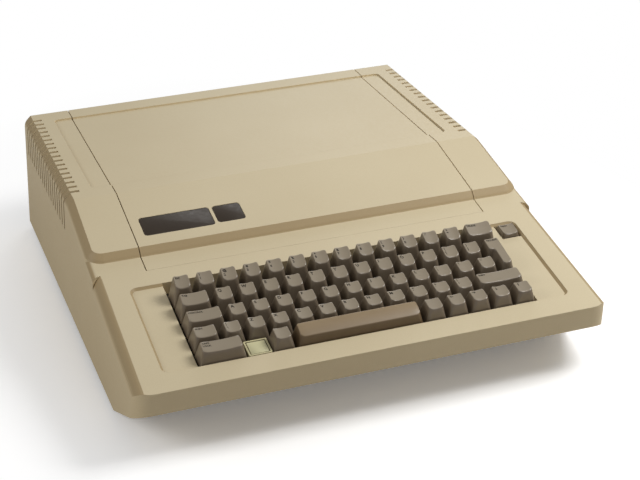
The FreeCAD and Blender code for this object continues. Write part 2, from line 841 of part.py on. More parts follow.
def cap_block(name, width, length, height, low, high, insets, wall="0"):
    """A block with the taper of a cap, from one height over the deck to another."""
    side, front, rear = insets
    block = document.addObject("Part::Wedge", name)
    share = "(cap_skirt + %s) / (cap_skirt + %s)" % ("%s", height)
    low_share, high_share = share % ("(%s)" % low), share % ("(%s)" % high)
    limits = (
        ("Xmin", "-", width, side, low_share), ("Xmax", "+", width, side, low_share),
        ("Zmin", "-", length, rear, low_share), ("Zmax", "+", length, front, low_share),
        ("X2min", "-", width, side, high_share), ("X2max", "+", width, side, high_share),
        ("Z2min", "-", length, rear, high_share), ("Z2max", "+", length, front, high_share),
    )
    for limit, sign, span, inset, part_way in limits:
        reach = "(%s) / 2 - %s - %s * %s" % (span, wall, inset, part_way)
        block.setExpression(limit, cells("%s1 * (%s)" % (sign, reach)))
    bind(block, Ymin=low, Ymax=high)
    block.Placement = Placement(Vector(), Rotation(X_AXIS, 90))
    return block


CAP_INSETS = ("cap_side_inset", "cap_front_inset", "cap_rear_inset")
RESET_INSETS = ("reset_cap_inset", "reset_cap_inset", "reset_cap_inset")


def dish(name, width, length, height, tilt, insets, flat=False):
    """The tool that shapes the top: a long shallow cylinder, tipped towards the typist."""
    top_front = Vector(0, -length / 2 + size(insets[1]), height)
    if flat:
        tool = document.addObject("Part::Box", name)
        bind(tool, Length="2 * well_half_width", Width="well_half_width", Height="well_rear")
        shift = Vector(-size("well_half_width"), -size("overrun"), 0)
        turn = Rotation(X_AXIS, tilt)
        tool.Placement = Placement(top_front, turn).multiply(Placement(shift, Rotation()))
        return tool
    chord = width - 2 * size(insets[0])
    depth = size("dish_depth")
    radius = chord * chord / (8 * depth) + depth / 2
    tool = document.addObject("Part::Cylinder", name)
    tool.Radius = radius
    bind(tool, Height="well_half_width")
    start = Vector(0, 0, radius - depth)
    tool.Placement = Placement(top_front, Rotation(X_AXIS, tilt)).multiply(
        Placement(start - Vector(0, size("overrun"), 0), Rotation(X_AXIS, -90)))
    return tool


def key_cap(name, blocks, height, tilt, chord, insets=CAP_INSETS, flat=False):
    """A hollow cap with a stem, from one block or from two that make an L.

    The L stays two solids, its arm and its leg, so that its collision keeps the notch.
    """
    outer, inner = [], []
    for number, (width, length, across, along) in enumerate(blocks, start=1):
        label = "%s_%d" % (name, number)
        block = cap_block(label + "_blank", width, length, height, "-cap_skirt",
                          height + " + cap_blank_spare", insets)
        block = chamfered(label + "_corners", block, size("cap_corner"), rises)
        hollow = cap_block(label + "_hollow", width, length, height, "-cap_skirt - cap_wall",
                           height + " - dish_depth - cap_roof", insets, "cap_wall")
        for source, kept in ((block, outer), (hollow, inner)):
            if across or along:
                source = group(source.Name + "_moved", [source])
                source.Placement.Base = Vector(across, along, 0)
            kept.append(source)
    length = 2 * abs(blocks[-1][3]) + size("key_pitch") - size("key_gap")
    tool = dish(name + "_dish", chord, length, size(height), tilt, insets, flat)
    stem = box(name + "_stem", "stem_width", "stem_width",
               "cap_skirt + stem_reach + %s - dish_depth - cap_roof / 2" % height,
               ("-stem_width / 2", "-stem_width / 2", "-cap_skirt - stem_reach"))
    if len(outer) == 1:
        return fuse(name, cut(name + "_shell", outer[0], tool, *inner), stem)
    arm = fuse(name + "_arm", cut(name + "_arm_shell", outer[0], tool, *inner), stem)
    leg = cut(name + "_leg", outer[1], outer[0], tool, inner[1])
    return group(name, [arm, leg])


def cap_width(units):
    return "%s * key_pitch - key_gap" % units


masters = {}


def master(row, units):
    """The cap for a row and a width, made once and copied to every place."""
    if (row, units) not in masters:
        name = "cap_row_%d_width_%s" % (row, str(units).replace(".", "_"))
        chord = units * size("key_pitch") - size("key_gap")
        blocks = [(cap_width(units), cap_width(1), 0.0, 0.0)]
        masters[row, units] = key_cap(name, blocks, ROW_HEIGHTS[row], ROW_TILTS[row], chord,
                                      flat=units > 5)
    return masters[row, units]


def key_copy(name, source, across, along):
    return on_deck(group(name, [source]), across, along)


pitch = size("key_pitch")
keyboard_left = -KEYBOARD_UNITS * pitch / 2


def row_centre(row):
    return size("keyboard_front") + (ROW_COUNT - row + 0.5) * pitch


switch_places = []
grouped = []
for row, keys in ROWS.items():
    reached = 0.0
    for label, units in keys:
        across = keyboard_left + (reached + units / 2) * pitch
        reached += units
        if label is GAP:
            continue
        switch_places.append((across, row_centre(row), "switch_width"))
        if label == GROUPED_KEYS:
            copy_name = "grouped_key_%02d" % (len(grouped) + 1)
            grouped.append(key_copy(copy_name, master(row, units), across, row_centre(row)))
        else:
            finish(key_copy(label, master(row, units), across, row_centre(row)), label)
finish(group(GROUPED_KEYS, grouped), GROUPED_KEYS)

return_blocks = [
    (cap_width(RETURN_TOP_UNITS), cap_width(1), 0.0, 0.0),
    (cap_width(RETURN_STEM_UNITS), cap_width(2),
     (RETURN_TOP_UNITS - RETURN_STEM_UNITS) * pitch / 2, -pitch / 2),
]
return_cap = key_cap("return_cap", return_blocks, "return_height", ROW_TILTS[3],
                     2 * RETURN_TOP_UNITS * pitch)
return_place = (keyboard_left + (KEYBOARD_UNITS - RETURN_TOP_UNITS / 2) * pitch, row_centre(2))
switch_places.append(return_place + ("switch_width",))
finish(key_copy("return_key", return_cap, *return_place), "return_key")

reset_blocks = [("reset_cap_width", "reset_cap_length", 0.0, 0.0)]
reset_cap = key_cap("reset_cap", reset_blocks, "reset_height", 0.0, size("reset_cap_width"),
                    RESET_INSETS)
reset_place = (size("reset_across"), size("reset_up"))
switch_places.append(reset_place + ("reset_switch_width",))
finish(key_copy("reset_key", reset_cap, *reset_place), "reset_key")


# Keyboard plate with its switch bodies, and the lamp plate

plate = document.addObject("Part::Box", "keyboard_plate")
bind(plate, Length="plate_left + plate_right", Width="plate_rear - plate_front",
     Height="plate_thickness")
on_deck(plate, -size("plate_left"), size("plate_front"),
        -size("plate_depth") - size("plate_thickness"))
switches = []
stem_holes = []
for number, (across, along, width) in enumerate(switch_places, start=1):
    switches.append(deck_box(
        "switch_%02d" % number, width, width, "plate_depth - cap_skirt", across,
        along - size(width) / 2, -size("plate_depth")))
    stem_holes.append(deck_box(
        "stem_hole_%02d" % number, "stem_width + 2 * stem_clearance",
        "stem_width + 2 * stem_clearance", "plate_depth", across,
        along - size("stem_width") / 2 - size("stem_clearance"), -size("plate_depth")))
finish(cut("keyboard_frame", fuse("plate_with_switches", plate, *switches),
           group("stem_holes", stem_holes)), "keyboard_frame")

lamp_across = keyboard_left + 2.5 * pitch
lamp_front = row_centre(5) - size("lamp_plate_length") / 2
lamp_block = deck_box("lamp_block", "lamp_plate_width", "lamp_plate_length",
                      "plate_depth - lamp_plate_drop", lamp_across, lamp_front,
                      -size("plate_depth"))
lamp_inset = deck_box("lamp_inset", "lamp_plate_width - 2 * lamp_rim",
                      "lamp_plate_length - 2 * lamp_rim", "2 * lamp_inset_depth", lamp_across,
                      lamp_front + size("lamp_rim"),
                      -size("lamp_plate_drop") - size("lamp_inset_depth"))
lamp_block = rounded("lamp_rounded", lamp_block, size("lamp_rim"), lambda edge: rises(edge, 0.9))
finish(cut("lamp_plate", lamp_block, lamp_inset), "lamp_plate")


# Base plate, main board and rear panel


def plane_sketch(body, name, role, offset):
    """A sketch on one of the planes of a body, moved along the plane's normal."""
    sketch = body.newObject("Sketcher::SketchObject", name)
    plane = [item for item in body.Origin.OriginFeatures if item.Role == role][0]
    sketch.AttachmentSupport = [(plane, "")]
    sketch.MapMode = "FlatFace"
    sketch.setExpression("AttachmentOffset.Base.z", cells(offset))
    return sketch


def rectangle(low_x, low_y, high_x, high_y):
    return [(low_x, low_y), (high_x, low_y), (high_x, high_y), (low_x, high_y)]


def hexagon(across, up, radius):
    turns = [math.pi / 3 * number for number in range(6)]
    return [("%s + %s * %.6f" % (across, radius, math.cos(turn)),
             "%s + %s * %.6f" % (up, radius, math.sin(turn))) for turn in turns]


def circle(sketch, across, up, radius):
    start = Vector(size("overrun"), size("overrun"), 0)
    number = sketch.addGeometry(Part.Circle(start, Z_AXIS, size(radius)))
    values = (("Radius", radius, size(radius)), ("DistanceX", across, start.x),
              ("DistanceY", up, start.y))
    for kind, text, value in values:
        if kind == "Radius":
            constraint = Sketcher.Constraint(kind, number, value)
        else:
            constraint = Sketcher.Constraint(kind, number, 3, value)
        place_number = sketch.addConstraint(constraint)
        sketch.setExpression("Constraints[%d]" % place_number, cells(text))


def pad(body, name, sketch, length):
    item = body.newObject("PartDesign::Pad", name)
    item.Profile = sketch
    item.setExpression("Length", cells(length))
    sketch.Visibility = False
    return item


def through_pocket(body, name, sketch):
    """Cut right through, and make sure that something was taken away."""
    document.recompute()
    before = body.Shape.Volume
    item = body.newObject("PartDesign::Pocket", name)
    item.Profile = sketch
    item.Type = "ThroughAll"
    item.Midplane = True
    document.recompute()
    if not body.Shape.Volume < before:
        raise SystemExit("pocket without effect: " + name)
    return item


BASE_LOW = "edge_height - base_thickness"
base_plate = document.addObject("PartDesign::Body", "base_plate")
base_sketch = plane_sketch(base_plate, "base_sheet", "XY_Plane", BASE_LOW)
side = "base_half_width - base_inset"
front = NOSE + " + keel_setback + base_inset"
rear = REAR + " - base_inset"
corner = "step_corner_radius / 2"
draw(base_sketch, [
    ("-(%s) + %s" % (side, corner), front), (side + " - " + corner, front),
    (side, front + " + " + corner), (side, rear + " - " + corner),
    (side + " - " + corner, rear), ("-(%s) + %s" % (side, corner), rear),
    ("-(%s)" % side, rear + " - " + corner), ("-(%s)" % side, front + " + " + corner),
])
pad(base_plate, "base_sheet_pad", base_sketch, "base_thickness")
standoff_sketch = plane_sketch(base_plate, "standoffs", "XY_Plane", "edge_height")
BOARD_FRONT = NOSE + " + board_front_setback"
BOARD_REAR = NOSE + " + board_rear_setback"
for across in ("-board_left + overrun", "(board_right - board_left) / 2", "board_right - overrun"):
    for back in (BOARD_FRONT + " + overrun", BOARD_REAR + " - overrun"):
        draw(standoff_sketch, hexagon(across, back, "standoff_radius"))
pad(base_plate, "standoff_pad", standoff_sketch, "standoff_height")
finish(base_plate, "base_plate")

BOARD_LOW = "edge_height + standoff_height"
BOARD_TOP = BOARD_LOW + " + board_thickness"
main_board = document.addObject("PartDesign::Body", "main_board")
board_sketch = plane_sketch(main_board, "board_sheet", "XY_Plane", BOARD_LOW)
draw(board_sketch, rectangle("-board_left", BOARD_FRONT, "board_right", BOARD_REAR))
pad(main_board, "board_pad", board_sketch, "board_thickness")
finish(main_board, "main_board")

PANEL_REAR = REAR + " - case_wall"
PANEL_FRONT = PANEL_REAR + " - panel_thickness"
rear_panel = document.addObject("PartDesign::Body", "rear_panel")
panel_sketch = plane_sketch(rear_panel, "panel_sheet", "XZ_Plane", "-(%s)" % PANEL_REAR)
draw(panel_sketch, rectangle("-panel_half_width", "edge_height", "panel_half_width",
                             "panel_top_height"))
pad(rear_panel, "panel_pad", panel_sketch, "panel_thickness")
port_sketch = plane_sketch(rear_panel, "ports", "XZ_Plane", "-(%s)" % PANEL_REAR)
port_centres = ["first_slot_across + %d * slot_pitch" % number for number in range(PORT_COUNT)]
for centre in port_centres:
    draw(port_sketch, rectangle(
        centre + " - port_width / 2", "port_low_height", centre + " + port_width / 2",
        "port_low_height + port_height"))
small_centres = ["small_port_first + %d * small_port_pitch" % number
                 for number in range(SMALL_PORT_COUNT)]
for centre in small_centres:
    draw(port_sketch, rectangle(
        centre + " - small_port_width / 2", "small_port_low_height",
        centre + " + small_port_width / 2", "small_port_low_height + small_port_height"))
SUPPLY_RIGHT = "supply_width - supply_left"
draw(port_sketch, rectangle(
    "-supply_left + supply_window_margin", "edge_height + supply_window_margin",
    SUPPLY_RIGHT + " - supply_window_margin",
    "edge_height + supply_height - supply_window_margin"))
jack_centres = ["%d * jack_pitch - jack_first" % number for number in range(JACK_COUNT)]
for centre in jack_centres:
    circle(port_sketch, centre, "jack_height", "jack_radius")
through_pocket(rear_panel, "port_pocket", port_sketch)
finish(rear_panel, "rear_panel")

covers = []
for kind, centres in (("port", port_centres), ("small_port", small_centres)):
    for number, centre in enumerate(centres, start=1):
        name = "%s_cover_%d" % (kind, number)
        plug = box(name + "_plug", kind + "_width - 2 * port_clearance", "panel_thickness",
                   kind + "_height - 2 * port_clearance",
                   (centre + " - %s_width / 2 + port_clearance" % kind, PANEL_FRONT,
                    kind + "_low_height + port_clearance"))
        flange = box(name + "_flange", kind + "_width + 2 * cover_flange", "cover_flange",
                     kind + "_height + 2 * cover_flange",
                     (centre + " - %s_width / 2 - cover_flange" % kind, PANEL_REAR,
                      kind + "_low_height - cover_flange"))
        covers.append(fuse(name, plug, flange))
finish(group("port_covers", covers), "port_covers")

JACK_SIDES = 24
jacks = []
for number, centre in enumerate(jack_centres, start=1):
    name = "jack_%d" % number
    block = box(name + "_block", "jack_body_width", "jack_body_length",
                "jack_body_height",
                (centre + " - jack_body_width / 2",
                 PANEL_FRONT + " - jack_body_length", BOARD_TOP))
    towards_rear = Rotation(X_AXIS, -90)
    barrel = prism(name + "_barrel", JACK_SIDES, "jack_radius - port_clearance", "jack_length",
                   (centre, PANEL_REAR + " + jack_stand_out - jack_length", "jack_height"),
                   towards_rear)
    bore = prism(name + "_bore", JACK_SIDES, "jack_bore_radius", "jack_bore_depth + overrun",
                 (centre, PANEL_REAR + " + jack_stand_out - jack_bore_depth", "jack_height"),
                 towards_rear)
    jacks.append(cut(name, fuse(name + "_solid", block, barrel), bore))
finish(group("rear_connectors", jacks), "rear_connectors")


# What stands on the main board

slots = []
slot_places = [("first_slot_across + %d * slot_pitch" % number,
                NOSE + " + slot_rear_setback - slot_length") for number in range(SLOT_COUNT)]
slot_places.append(("-first_slot_across - slot_pitch",
                    NOSE + " + helper_slot_setback - slot_length"))
for number, (centre, back) in enumerate(slot_places, start=1):
    name = "slot_%d" % number
    block = box(name + "_block", "slot_width", "slot_length", "slot_height",
                (centre + " - slot_width / 2", back, BOARD_TOP))
    groove = box(name + "_groove", "slot_groove", "slot_length - slot_width", "slot_height",
                 (centre + " - slot_groove / 2", back + " + slot_width / 2",
                  BOARD_TOP + " + slot_height - slot_groove_depth"))
    slots.append(cut(name, block, groove))
finish(group("expansion_slots", slots), "expansion_slots")

# rows of chips: first centre across, setback of the row, count, step across, kind of chip
NARROW_ROW = (NARROW_CHIP_COUNT, "chip_column_pitch", "narrow")
CHIP_ROWS = (
    ("chip_first", "chip_row_setback") + NARROW_ROW,
    ("chip_first", "chip_row_setback + chip_row_pitch") + NARROW_ROW,
    ("chip_first", "chip_row_setback + 2 * chip_row_pitch") + NARROW_ROW,
    ("chip_first", "program_row_setback", WIDE_CHIP_COUNT, "wide_chip_pitch", "wide"),
    ("long_chip_margin - board_left", "program_row_setback", 1, "wide_chip_pitch", "long"),
    ("chip_first", "logic_row_setback") + NARROW_ROW,
    ("chip_first", "logic_row_setback + chip_row_pitch") + NARROW_ROW,
)
chips = []
for number, (first, setback, count, step, kind) in enumerate(CHIP_ROWS, start=1):
    for column in range(count):
        chips.append(box(
            "chip_%d_%d" % (number, column + 1), kind + "_chip_width", kind + "_chip_length",
            "chip_height", ("%s + %d * %s - %s_chip_width / 2" % (first, column, step, kind),
                            NOSE + " + " + setback, BOARD_TOP)))
finish(group("circuit_chips", chips), "circuit_chips")


# Power supply with its inlet and switch

SUPPLY_LEFT = "-supply_left"
SUPPLY_MIDDLE = "supply_width / 2 - supply_left"
supply_block = box(
    "supply_block", "supply_width", "(%s) - (%s + supply_front_setback)" % (PANEL_FRONT, NOSE),
    "supply_height", (SUPPLY_LEFT, NOSE + " + supply_front_setback", "edge_height"))
INLET_LOW = (SUPPLY_MIDDLE + " - inlet_width / 2",
             PANEL_REAR + " - inlet_length", "inlet_centre_height - inlet_height / 2")
inlet_pocket = box("inlet_pocket", "inlet_width", "inlet_length", "inlet_height", INLET_LOW)
rocker_pocket = box(
    "rocker_pocket", "rocker_width + 2 * rocker_hub_gap", "rocker_well_depth + overrun",
    "rocker_well_length",
    (SUPPLY_MIDDLE + " - rocker_width / 2 - rocker_hub_gap",
     PANEL_FRONT + " - rocker_well_depth", "rocker_centre_height - rocker_well_length / 2"))
across_x = Rotation(Y_AXIS, 90)
PIVOT = NOSE + " + rocker_pivot_setback"
hub_bore = cylinder(
    "hub_bore", "rocker_hub_radius + rocker_hub_gap",
    "rocker_width + 2 * rocker_hub_reach + 2 * rocker_hub_gap",
    (SUPPLY_MIDDLE + " - rocker_width / 2 - rocker_hub_reach - rocker_hub_gap", PIVOT,
     "rocker_centre_height"), across_x)
supply = chamfered("supply_trimmed", supply_block, size("supply_edge"),
                   lambda edge: edge.BoundBox.ZMin > size("supply_height") and rises(edge, -1))
finish(cut("power_supply", supply, inlet_pocket, rocker_pocket, hub_bore), "power_supply")

inlet_block = box("inlet_block", "inlet_width", "inlet_length", "inlet_height", INLET_LOW)
inlet_cavity = box(
    "inlet_cavity", "inlet_width - 2 * inlet_wall", "inlet_cavity_depth + overrun",
    "inlet_height - 2 * inlet_wall",
    (SUPPLY_MIDDLE + " - inlet_width / 2 + inlet_wall", PANEL_REAR + " - inlet_cavity_depth",
     "inlet_centre_height - inlet_height / 2 + inlet_wall"))
pins = []
for name, across_shift, up_shift in (
    ("left_pin", "-pin_spread", "-pin_height / 2"), ("right_pin", "pin_spread", "-pin_height / 2"),
    ("middle_pin", "0 * pin_spread", "pin_height / 2"),
):
    pins.append(box(name, "pin_width", "inlet_cavity_depth - inlet_wall / 2", "pin_height",
                    ("%s + %s - pin_width / 2" % (SUPPLY_MIDDLE, across_shift),
                     PANEL_REAR + " - inlet_cavity_depth - inlet_wall / 2",
                     "inlet_centre_height + %s - pin_height / 2" % up_shift)))
finish(fuse("mains_inlet", cut("inlet_hollow", inlet_block, inlet_cavity), *pins), "mains_inlet")

rocker_outline = outline("rocker_outline", "side", [
    ("-rocker_back_reach", "-rocker_length / 2"), ("rocker_end_reach", "-rocker_length / 2"),
    ("rocker_waist_reach", "0"), ("rocker_end_reach", "rocker_length / 2"),
    ("-rocker_back_reach", "rocker_length / 2"),
])
rocker_body = extrusion("rocker_body", rocker_outline, "rocker_width")
rocker_hub = cylinder("rocker_hub", "rocker_hub_radius", "rocker_width + 2 * rocker_hub_reach",
                      ("-rocker_width / 2 - rocker_hub_reach", "0", "0"), across_x)
rocker = group("power_switch", [fuse("rocker_solid", rocker_body, rocker_hub)])
ROCKER_TILT = 8.0
rocker.Placement = Placement(Vector(), Rotation(X_AXIS, ROCKER_TILT))
place(rocker, SUPPLY_MIDDLE, PIVOT, "rocker_centre_height")
finish(rocker, "power_switch")


# Speaker and feet

SPEAKER_BACK = NOSE + " + speaker_setback"
SPEAKER_SIDES = 32
SPEAKER_STAGE = "(speaker_height - speaker_rim_height) / 2"
speaker_rim = prism("speaker_rim", SPEAKER_SIDES, "speaker_radius", "speaker_rim_height",
                    ("-speaker_across", SPEAKER_BACK, "edge_height"))
speaker_basket = prism("speaker_basket", SPEAKER_SIDES, "speaker_basket_radius", SPEAKER_STAGE,
                       ("-speaker_across", SPEAKER_BACK, "edge_height + speaker_rim_height"))
speaker_magnet = prism("speaker_magnet", SPEAKER_SIDES, "speaker_magnet_radius", SPEAKER_STAGE,
                       ("-speaker_across", SPEAKER_BACK,
                        "edge_height + speaker_rim_height + " + SPEAKER_STAGE))
finish(fuse("speaker", speaker_rim, speaker_basket, speaker_magnet), "speaker")

feet = []
for side, across in (("left", "-foot_across"), ("right", "foot_across")):
    for end in ("front", "rear"):
        foot = document.addObject("Part::Cone", "%s_%s_foot" % (side, end))
        bind(foot, Radius1="foot_radius", Radius2="foot_top_radius",
             Height="edge_height - base_thickness")
        feet.append(place(foot, across, NOSE + " + foot_%s_setback" % end))
finish(group("feet", feet), "feet")


# Check everything, then write each sub-part to its own file

document.recompute()
for item in document.Objects:
    if "Invalid" in item.State or "Error" in item.State:
        raise SystemExit("not computed: " + item.Name)
os.makedirs("parts", exist_ok=True)
for item in parts:
    if item.Shape.isNull() or not item.Shape.isValid():
        raise SystemExit("bad shape: " + item.Label)
    item.Shape.exportStep("parts/%s.step" % item.Label)
print("%d sub-parts written" % len(parts))
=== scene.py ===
import json
import math

import bpy
from mathutils import Matrix, Vector
from mathutils.geometry import tessellate_polygon


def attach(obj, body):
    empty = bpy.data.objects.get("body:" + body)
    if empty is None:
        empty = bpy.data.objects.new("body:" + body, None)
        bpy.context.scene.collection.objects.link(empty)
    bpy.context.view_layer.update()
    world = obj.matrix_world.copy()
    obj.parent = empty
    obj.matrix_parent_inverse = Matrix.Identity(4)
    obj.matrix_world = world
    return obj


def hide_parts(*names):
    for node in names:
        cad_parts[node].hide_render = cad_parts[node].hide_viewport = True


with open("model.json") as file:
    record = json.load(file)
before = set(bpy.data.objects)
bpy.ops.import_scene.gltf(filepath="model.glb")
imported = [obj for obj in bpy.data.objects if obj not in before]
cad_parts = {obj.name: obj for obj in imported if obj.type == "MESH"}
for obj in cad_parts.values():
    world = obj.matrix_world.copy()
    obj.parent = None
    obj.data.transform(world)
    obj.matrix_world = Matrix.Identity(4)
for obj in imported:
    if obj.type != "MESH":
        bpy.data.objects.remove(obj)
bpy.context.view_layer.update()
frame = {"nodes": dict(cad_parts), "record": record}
scene = bpy.context.scene
MM = 0.001


# Camera at the photograph's place

IMAGE_WIDTH = 640
FOCAL_PIXELS = 1553.57
CENTRE_PIXEL = 318.11
SENSOR = 36.0
CAMERA_PLACE = Vector((-0.36945, -1.1815, 0.64162))
CAMERA_RIGHT = Vector((0.94358, -0.33001, -0.02731))
CAMERA_UP = Vector((0.16586, 0.39961, 0.90156))

camera_data = bpy.data.cameras.new("camera")
camera_data.sensor_width = SENSOR
camera_data.lens = FOCAL_PIXELS * SENSOR / IMAGE_WIDTH
camera_data.shift_x = (IMAGE_WIDTH / 2 - CENTRE_PIXEL) / IMAGE_WIDTH
camera_data.clip_start = 0.05
camera_data.clip_end = 50
camera = bpy.data.objects.new("camera", camera_data)
scene.collection.objects.link(camera)
camera_back = CAMERA_RIGHT.cross(CAMERA_UP)
turn = Matrix((CAMERA_RIGHT, CAMERA_UP, camera_back)).transposed()
camera.matrix_world = Matrix.Translation(CAMERA_PLACE) @ turn.to_4x4()
scene.camera = camera
scene.view_settings.view_transform = "Standard"


# Materials

def linear(red, green, blue):
    """Turn a colour as seen on a screen, 0 to 255, into the values that a shader takes."""
    shares = (value / 255 for value in (red, green, blue))
    return tuple(
        s / 12.92 if s <= 0.04045 else ((s + 0.055) / 1.055) ** 2.4 for s in shares) + (1.0,)


class Shader:
    """A principled material with a few helpers for procedural detail."""

    def __init__(self, name, color, roughness, metallic=0.0, specular=0.5):
        self.material = bpy.data.materials.new(name)
        self.material.use_nodes = True
        self.tree = self.material.node_tree
        self.base = self.tree.nodes["Principled BSDF"]
        self.base.inputs["Base Color"].default_value = color
        self.base.inputs["Roughness"].default_value = roughness
        self.base.inputs["Metallic"].default_value = metallic
        self.base.inputs["Specular IOR Level"].default_value = specular
        self.material.diffuse_color = color
        coordinates = self.tree.nodes.new("ShaderNodeTexCoord")
        self.place = coordinates.outputs["Object"]

    def link(self, start, end):
        self.tree.links.new(start, end)

    def noise(self, scale, detail=2.0, rough=0.5, stretch=None):
        """Noise in object space; scale is in waves per metre."""
        source = self.place
        if stretch:
            mapping = self.tree.nodes.new("ShaderNodeMapping")
            mapping.inputs["Scale"].default_value = stretch
            self.link(source, mapping.inputs["Vector"])
            source = mapping.outputs["Vector"]
        node = self.tree.nodes.new("ShaderNodeTexNoise")
        node.inputs["Scale"].default_value = scale
        node.inputs["Detail"].default_value = detail
        node.inputs["Roughness"].default_value = rough
        self.link(source, node.inputs["Vector"])
        return node.outputs["Fac"]

    def ramp(self, source, low, high, start, end):
        """Blend from one colour to another; the second may come from another node."""
        if isinstance(end, bpy.types.NodeSocket):
            return self.mix(self.span(source, low, high, 0.0, 1.0), start, end)
        node = self.tree.nodes.new("ShaderNodeValToRGB")
        node.color_ramp.elements[0].position = low
        node.color_ramp.elements[1].position = high
        node.color_ramp.elements[0].color = start
        node.color_ramp.elements[1].color = end
        self.link(source, node.inputs["Fac"])
        return node.outputs["Color"]

    def span(self, source, low, high, start, end):
        node = self.tree.nodes.new("ShaderNodeMapRange")
        for socket, value in (("From Min", low), ("From Max", high),
                              ("To Min", start), ("To Max", end)):
            node.inputs[socket].default_value = value
        self.link(source, node.inputs["Value"])
        return node.outputs["Result"]

    def mix(self, share, first, second, blend="MIX"):
        node = self.tree.nodes.new("ShaderNodeMix")
        node.data_type = "RGBA"
        node.blend_type = blend
        for name, value in (("Factor", share), ("A", first), ("B", second)):
            if isinstance(value, bpy.types.NodeSocket):
                self.link(value, node.inputs[name])
            else:
                node.inputs[name].default_value = value
        return node.outputs["Result"]

    def bump(self, source, height, strength=1.0):
        """Fine relief; height is in metres."""
        node = self.tree.nodes.new("ShaderNodeBump")
        node.inputs["Strength"].default_value = strength
        node.inputs["Distance"].default_value = height
        self.link(source, node.inputs["Height"])
        self.link(node.outputs["Normal"], self.base.inputs["Normal"])
        return node

    def upward(self, normal):
        """How far a surface faces up, from -1 to 1; normal is Normal or True Normal."""
        geometry = self.tree.nodes.new("ShaderNodeNewGeometry")
        parts = self.tree.nodes.new("ShaderNodeSeparateXYZ")
        self.link(geometry.outputs[normal], parts.inputs["Vector"])
        return parts.outputs["Z"]

    def color(self, source):
        self.link(source, self.base.inputs["Base Color"])

    def roughness(self, source):
        self.link(source, self.base.inputs["Roughness"])


def case_plastic():
    """Beige moulded plastic: a very fine grain and faint patches, with painted shade by the way
    a face points: slanted faces darker, steep faces only faintly warmer."""
    shader = Shader("case_plastic", linear(208, 193, 160), 0.5, specular=0.35)
    patches = shader.ramp(shader.noise(6.0, 3.0), 0.3, 0.7, linear(205, 190, 157),
                          linear(211, 197, 165))
    specks = shader.ramp(shader.noise(1400.0, 2.0), 0.3, 0.7, linear(250, 249, 247),
                         linear(255, 255, 255))
    grained = shader.mix(1.0, patches, specks, "MULTIPLY")
    # painted shade: colour set by how far each face points up, darkest on the slanted faces
    facing = shader.upward("True Normal")
    painted_shade_on_slopes = shader.ramp(facing, 0.86, 0.96, linear(214, 202, 184), linear(255, 255, 255))
    painted_shade_and_warm_tint = shader.ramp(facing, 0.25, 0.5, linear(255, 249, 240), painted_shade_on_slopes)
    shader.color(shader.mix(1.0, grained, painted_shade_and_warm_tint, "MULTIPLY"))
    shader.roughness(shader.span(shader.noise(420.0, 3.0), 0.3, 0.7, 0.46, 0.58))
    relief = shader.bump(shader.noise(2400.0, 2.0, 0.6), 0.00004, 0.12)
    edges = shader.tree.nodes.new("ShaderNodeBevel")
    edges.samples = 4
    edges.inputs["Radius"].default_value = 0.0005
    shader.link(edges.outputs["Normal"], relief.inputs["Normal"])
    return shader.material


def speckled(name, color, roughness, spread=0.12, grain=1200.0, relief=0.00006, specular=0.4,
             metallic=0.0):
    """A plain moulded or painted surface with a little unevenness in colour and gloss."""
    shader = Shader(name, color, roughness, metallic, specular)
    darker = tuple(c * (1 - spread) for c in color[:3]) + (1.0,)
    lighter = tuple(min(1.0, c * (1 + spread)) for c in color[:3]) + (1.0,)
    shader.color(shader.ramp(shader.noise(60.0, 4.0), 0.3, 0.7, darker, lighter))
    shader.roughness(shader.span(shader.noise(300.0, 3.0), 0.3, 0.7, roughness * 0.88,
                                 min(1.0, roughness * 1.12)))
    shader.bump(shader.noise(grain, 2.0, 0.6), relief, 0.4)
    return shader.material


def caps_with_painted_side_shade(name, top, side, roughness, specular):
    """Smooth moulded caps whose steep faces carry painted shade, darker than their tops."""
    shader = Shader(name, top, roughness, specular=specular)
    # painted shade: steep faces take the darker side colour, faces that point up take the top
    # colour
    painted_side_shade = shader.ramp(shader.upward("Normal"), 0.5, 0.92, side, top)
    patches = shader.ramp(shader.noise(50.0, 3.0), 0.3, 0.7, linear(248, 247, 245),
                          linear(255, 255, 255))
    shader.color(shader.mix(1.0, painted_side_shade, patches, "MULTIPLY"))
    shader.roughness(shader.span(shader.noise(120.0, 2.0), 0.3, 0.7, roughness * 0.95,
                                 roughness * 1.06))
    shader.bump(shader.noise(2400.0, 2.0, 0.6), 0.00001, 0.1)
    return shader.material


def brushed_metal(name, color, roughness):
    """Folded sheet with fine brush marks along the machine."""
    shader = Shader(name, color, roughness, metallic=1.0)
    marks = shader.noise(700.0, 3.0, 0.6, stretch=(1.0, 0.02, 1.0))
    shader.roughness(shader.span(marks, 0.3, 0.7, roughness * 0.75, roughness * 1.3))
    shader.bump(marks, 0.00002, 0.3)
    return shader.material


def circuit_board():
    """Green lacquer over darker and lighter copper tracks."""
    shader = Shader("circuit_board", linear(30, 88, 52), 0.35, specular=0.5)
    tracks = shader.tree.nodes.new("ShaderNodeTexBrick")
    tracks.inputs["Scale"].default_value = 90.0
    tracks.inputs["Mortar Size"].default_value = 0.03
    tracks.inputs["Color1"].default_value = linear(26, 84, 48)
    tracks.inputs["Color2"].default_value = linear(32, 94, 54)
    tracks.inputs["Mortar"].default_value = linear(58, 122, 68)
    shader.link(shader.place, tracks.inputs["Vector"])
    shader.color(tracks.outputs["Color"])
    shader.bump(shader.noise(500.0, 2.0), 0.00004, 0.3)
    return shader.material


